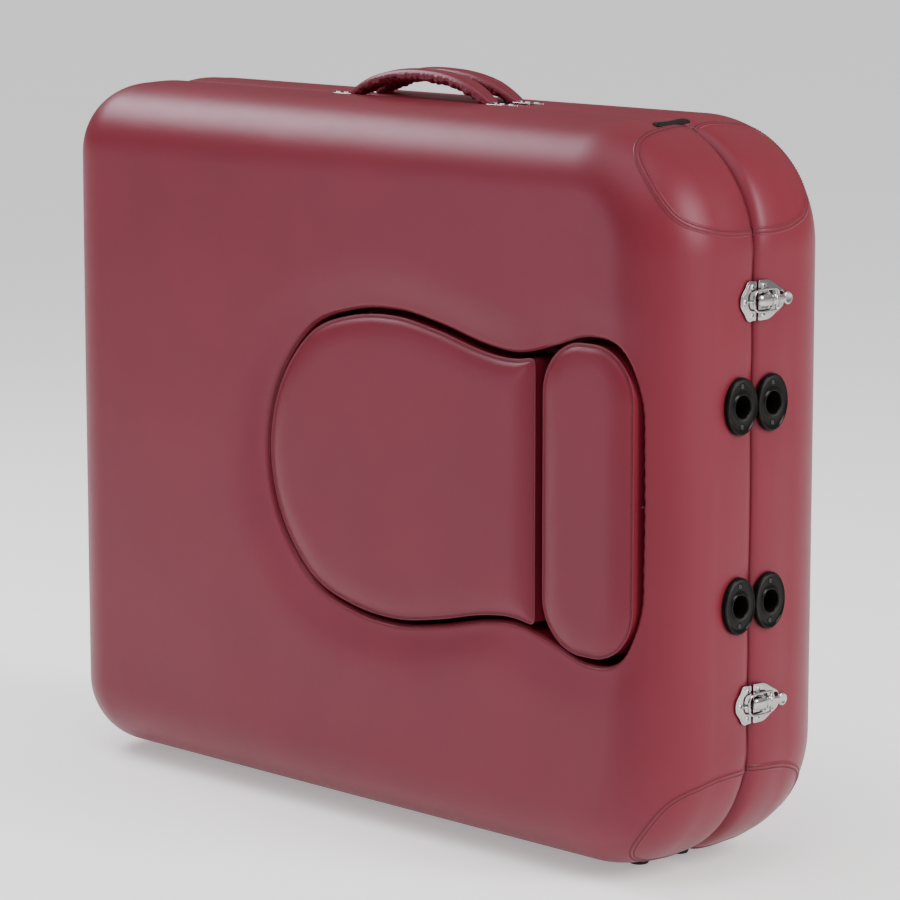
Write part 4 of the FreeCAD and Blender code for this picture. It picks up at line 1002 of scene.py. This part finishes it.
def handle(side):
    """A padded leather grip with three ribs along its back and a puckered underside."""
    h = NAMES[side]
    sections, around = 180, 60
    rows = []
    for i in range(sections):
        row = []
        s = i / (sections - 1) * 2 - 1  # -1 at the hinge end, +1 at the latch end
        at, up, taper = handle_line(s, side)
        wide, thick = HANDLE_HALF * taper, HANDLE_THICK * (1 - 0.25 * max(0, (abs(s) - 0.7) / 0.3))
        for k in range(around):
            a = 2 * math.pi * k / around
            c, q = math.cos(a), math.sin(a)
            u = math.copysign(abs(c) ** 0.8, c) * wide
            v = math.copysign(abs(q) ** 0.8, q) * thick
            if q > -0.1:
                rib = abs(math.cos(1.5 * math.pi * u / wide)) ** 0.7
                v += 2.3 * (rib - 0.6) * (q + 0.1) ** 0.5
            if q < 0.5:
                depth = min(1.0, (0.5 - q) * 1.3) * min(1.0, (1 - abs(s)) * 8)
                fold = noise.noise(Vector((at[0] / 3.4, a * 0.7, side * 2.0)))
                fold += 0.5 * noise.noise(Vector((at[0] / 1.6, a * 1.5, side * 7.0)))
                v += 2.2 * depth * fold * math.copysign(1, q)
                u += 1.8 * depth * fold * c
            row.append(at + up * v + np.array((0, u, 0)))
        rows.append(row)
    grip = make(h + "_handle_grip", ring_skin(rows), HANDLE, h + "_handle", node=h + "_handle")
    outward(grip)
    threads = Pile()
    for share in (-1 / 3, 1 / 3):  # down the two grooves between the ribs
        line, ups = [], []
        for s in np.linspace(-0.84, 0.84, 90):
            at, up, taper = handle_line(s, side)
            line.append(at + up * 4.6 + np.array((0, share * HANDLE_HALF * taper, 0)))
            ups.append(up)
        threads.take(stitches(line, ups, 2.2, 3.4, 0.35))
    make(h + "_handle_threads", threads, THREAD, h + "_handle")
    handle_fittings(side)


def handle_fittings(side):
    """At each end a long flat chrome plate with two screws, and the pin that the grip's end turns on."""
    h, y0, z0 = NAMES[side], side * HANDLE_DEPTH, Z_HIGH + FIT
    fit, spots = Pile(), []
    upper = [(-8, 0), (-7, 6.0), (-2, 8.2), (12, 8.8), (24, 7.8), (31, 5.2), (35.5, 0)]
    shape = smooth_loop(mirrored(upper), 5)
    for s in (-1, 1):
        x = HANDLE_X + s * PLATE_START
        fit.take(plate(shape, -0.8, 1.2, lambda u, v, t, x=x, s=s: np.array((x + s * u, y0 + v, z0 + t))))
        fit.take(tube([(x + s * 4, y0, HANDLE_Z - 2), (x - s * 9, y0, HANDLE_Z)], 2.0, 14))
        spots += [(x + s * u, y0, z0 + 1.1) for u in (12.0, 25.0)]
    obj = make(h + "_handle_mounts", fit, CHROME, h + "_half", node=h + "_handle_plates")
    outward(bevel(obj, 0.4, 2))
    screws(h + "_handle", ("screws", "slots"), h + "_half", spots, Z_AXIS, 3.0, 1.3)


def pull_tab():
    """The black strap beside the latch corner, held by one screw and lifting towards its free end."""
    x, far, near, half_wide = 377.0 - SHIFT, 50.0, 2.0, 5.6
    lean = math.asin((x - X_HIGH + LATCH_CORNER) / LATCH_CORNER)
    z = Z_HIGH - LATCH_CORNER * (1 - math.cos(lean))
    right = np.array((math.cos(lean), 0, -math.sin(lean)))
    up = np.array((math.sin(lean), 0, math.cos(lean)))
    rows = []
    for s in np.linspace(0, 1, 30):
        lift = 0.4 + 3.0 * max(0, s - 0.25) ** 1.3 + 0.25 * math.sin(s * 9)
        half = half_wide * (0.55 + 0.45 * min(1, math.sqrt(min(s, 1 - s) * 12)))
        ring = [(-half, 0), (-half * 0.97, 1.0), (0, 1.4), (half * 0.97, 1.0), (half, 0), (0, -0.1)]
        rows.append([np.array((x, near * s - far * (1 - s) - 2 * near * s, z)) + right * u + up * (lift + v)
                     for u, v in ring])
    outward(make("pull_tab_strap", ring_skin(rows), STRAP, "head_half", node="pull_tab"))
    at = np.array((x, 6 - far, z)) + up * 1.8
    screws("pull_tab", ("bolt", "slot"), "head_half", [at], up, 2.8, 0.9, BLACK, "pull_tab_screw")


FOOT_SPREAD, FOOT_DEPTH = 345.0, 30.0


def case_feet(side):
    """Rubber buttons with a rounded rim and a screw sunk in the middle."""
    h = NAMES[side]
    pile, spots = Pile(), []
    profile = [(0, 3.2), (3.4, 3.2), (3.6, 0.4), (4.4, 0.0), (8.6, 0.0), (9.8, 0.5), (10.6, 1.8), (11.0, 4.0),
               (11.0, 7.9), (11.0, 10.5), (0, 10.5)]
    for x in (FOOT_SPREAD - SHIFT, -FOOT_SPREAD - SHIFT):
        pile.take(lathe(profile, (x, side * FOOT_DEPTH, 0), Z_AXIS, 40))
        spots.append((x, side * FOOT_DEPTH, 3.0))
    outward(make(h + "_rubber_feet", pile, RUBBER, h + "_half", node=h + "_case_feet"))
    screws(h + "_foot", ("bolts",), h + "_half", spots, (0, 0, -1), 3.0, 0.9)


for half_side in (HEAD, FOOT):
    outlets(half_side)
    handle(half_side)
    case_feet(half_side)
for which in ("upper", "lower"):
    latch(which)
pull_tab()

# ---- the CAD nodes that show
SHOWN = {"deck": PLY, "rails": PINE, "leg_frame": BEECH, "slat_low": BEECH, "slat_high": BEECH,
         "leg_tip_low": RUBBER, "leg_tip_high": RUBBER, "knob_low": KNOB, "knob_high": KNOB}
SHOWN |= {n: STEEL for n in ("leg_brackets", "brace_pins", "braces", "brace_catches", "hinge_leaf")}
shown = {f"{h}_{n}": m for h in ("head", "foot") for n, m in SHOWN.items()}
# the plug boards get the darkened leather as painted shade, since only the shaded gaps round the plugs show
# them
shown |= {"belly_plug_board": CREASE_SHADE, "chest_plug_board": CREASE_SHADE, "fold_hinge_pin": STEEL}
for node_name, material in shown.items():
    o = bpy.data.objects[node_name]
    o.data.materials.clear()
    o.data.materials.append(material)

# ---- studio
WALL_DIM, WALL_BRIGHT = 0.10, 0.88
FLOOR_REACH, FLOOR_GLOW = 90, 0.36


def studio():
    """The pale floor and the walls that light the object."""
    look = Look("studio_floor")
    tone = look.texture("Noise", 3.0)
    look.surface(look.ramp(tone, (0.93, 0.93, 0.93), (0.95, 0.95, 0.95)), 0.7)
    look.shader["Emission Color"].default_value = (1, 1, 1, 1)  # lit from below, as a light table is
    look.shader["Emission Strength"].default_value = FLOOR_GLOW
    mesh = bpy.data.meshes.new("studio_floor")
    corners = [(x * FLOOR_REACH, y * FLOOR_REACH, 0) for x, y in ((-1, -1), (1, -1), (1, 1), (-1, 1))]
    mesh.from_pydata(corners, [], [(0, 1, 2, 3)])
    floor = bpy.data.objects.new("studio_floor", mesh)
    bpy.context.scene.collection.objects.link(floor)
    mesh.materials.append(look.material)
    world = bpy.data.worlds.new("studio_world")
    bpy.context.scene.world = world
    world.use_nodes = True
    tree = world.node_tree
    # the walls that light the object: brightest up and to the right, dim low down on the left
    towards = add(tree, "VectorMath", operation="DOT_PRODUCT")
    towards.inputs[1].default_value = (0.50, -0.10, 0.86)
    tree.links.new(add(tree, "TexCoord").outputs["Generated"], towards.inputs[0])
    shade = add(tree, "MapRange")
    levels = {"From Min": -0.3, "From Max": 0.9, "To Min": WALL_DIM, "To Max": WALL_BRIGHT}
    for field, value in levels.items():
        shade.inputs[field].default_value = value
    tree.links.new(towards.outputs["Value"], shade.inputs["Value"])
    tree.links.new(shade.outputs["Result"], tree.nodes["Background"].inputs["Strength"])
    tree.nodes["Background"].inputs["Color"].default_value = (1, 1, 1, 1)


def softbox(name, where, aim, size, power, colour=(1, 1, 1)):
    """A rectangular lamp aimed at a point."""
    data = bpy.data.lights.new(name, "AREA")
    data.shape = "RECTANGLE"
    data.size, data.size_y = size
    data.energy = power
    data.color = colour
    lamp = bpy.data.objects.new(name, data)
    bpy.context.scene.collection.objects.link(lamp)
    lamp.location = where
    lamp.rotation_euler = (Vector(aim) - Vector(where)).to_track_quat("-Z", "Y").to_euler()


studio()
softbox("right_box", (3.2, 0.7, 2.0), (0.4, 0, 0.4), (1.2, 2.0), 114, (1.0, 0.95, 0.92))
softbox("left_box", (-1.8, -3.0, 0.85), (0, -0.1, 0.36), (0.6, 1.0), 17, (0.93, 0.84, 1.0))
softbox("edge_box", (-2.1, -0.5, 2.5), (0, -0.1, 0.6), (1.6, 1.2), 70, (0.97, 0.93, 1.0))
softbox("floor_box", (0.6, -1.6, 3.6), (0.3, -0.6, 0), (3.0, 3.0), 60)

data = bpy.data.cameras.new("camera")
data.lens = 155.9
data.sensor_width = 36.0
camera = bpy.data.objects.new("camera", data)
bpy.context.scene.collection.objects.link(camera)
place = Vector((3.0158, -2.8872, 1.0756))
look = Vector((0.0310, 0.0, 0.39207))
camera.location = place
camera.rotation_euler = (look - place).to_track_quat("-Z", "Y").to_euler()
bpy.context.scene.camera = camera
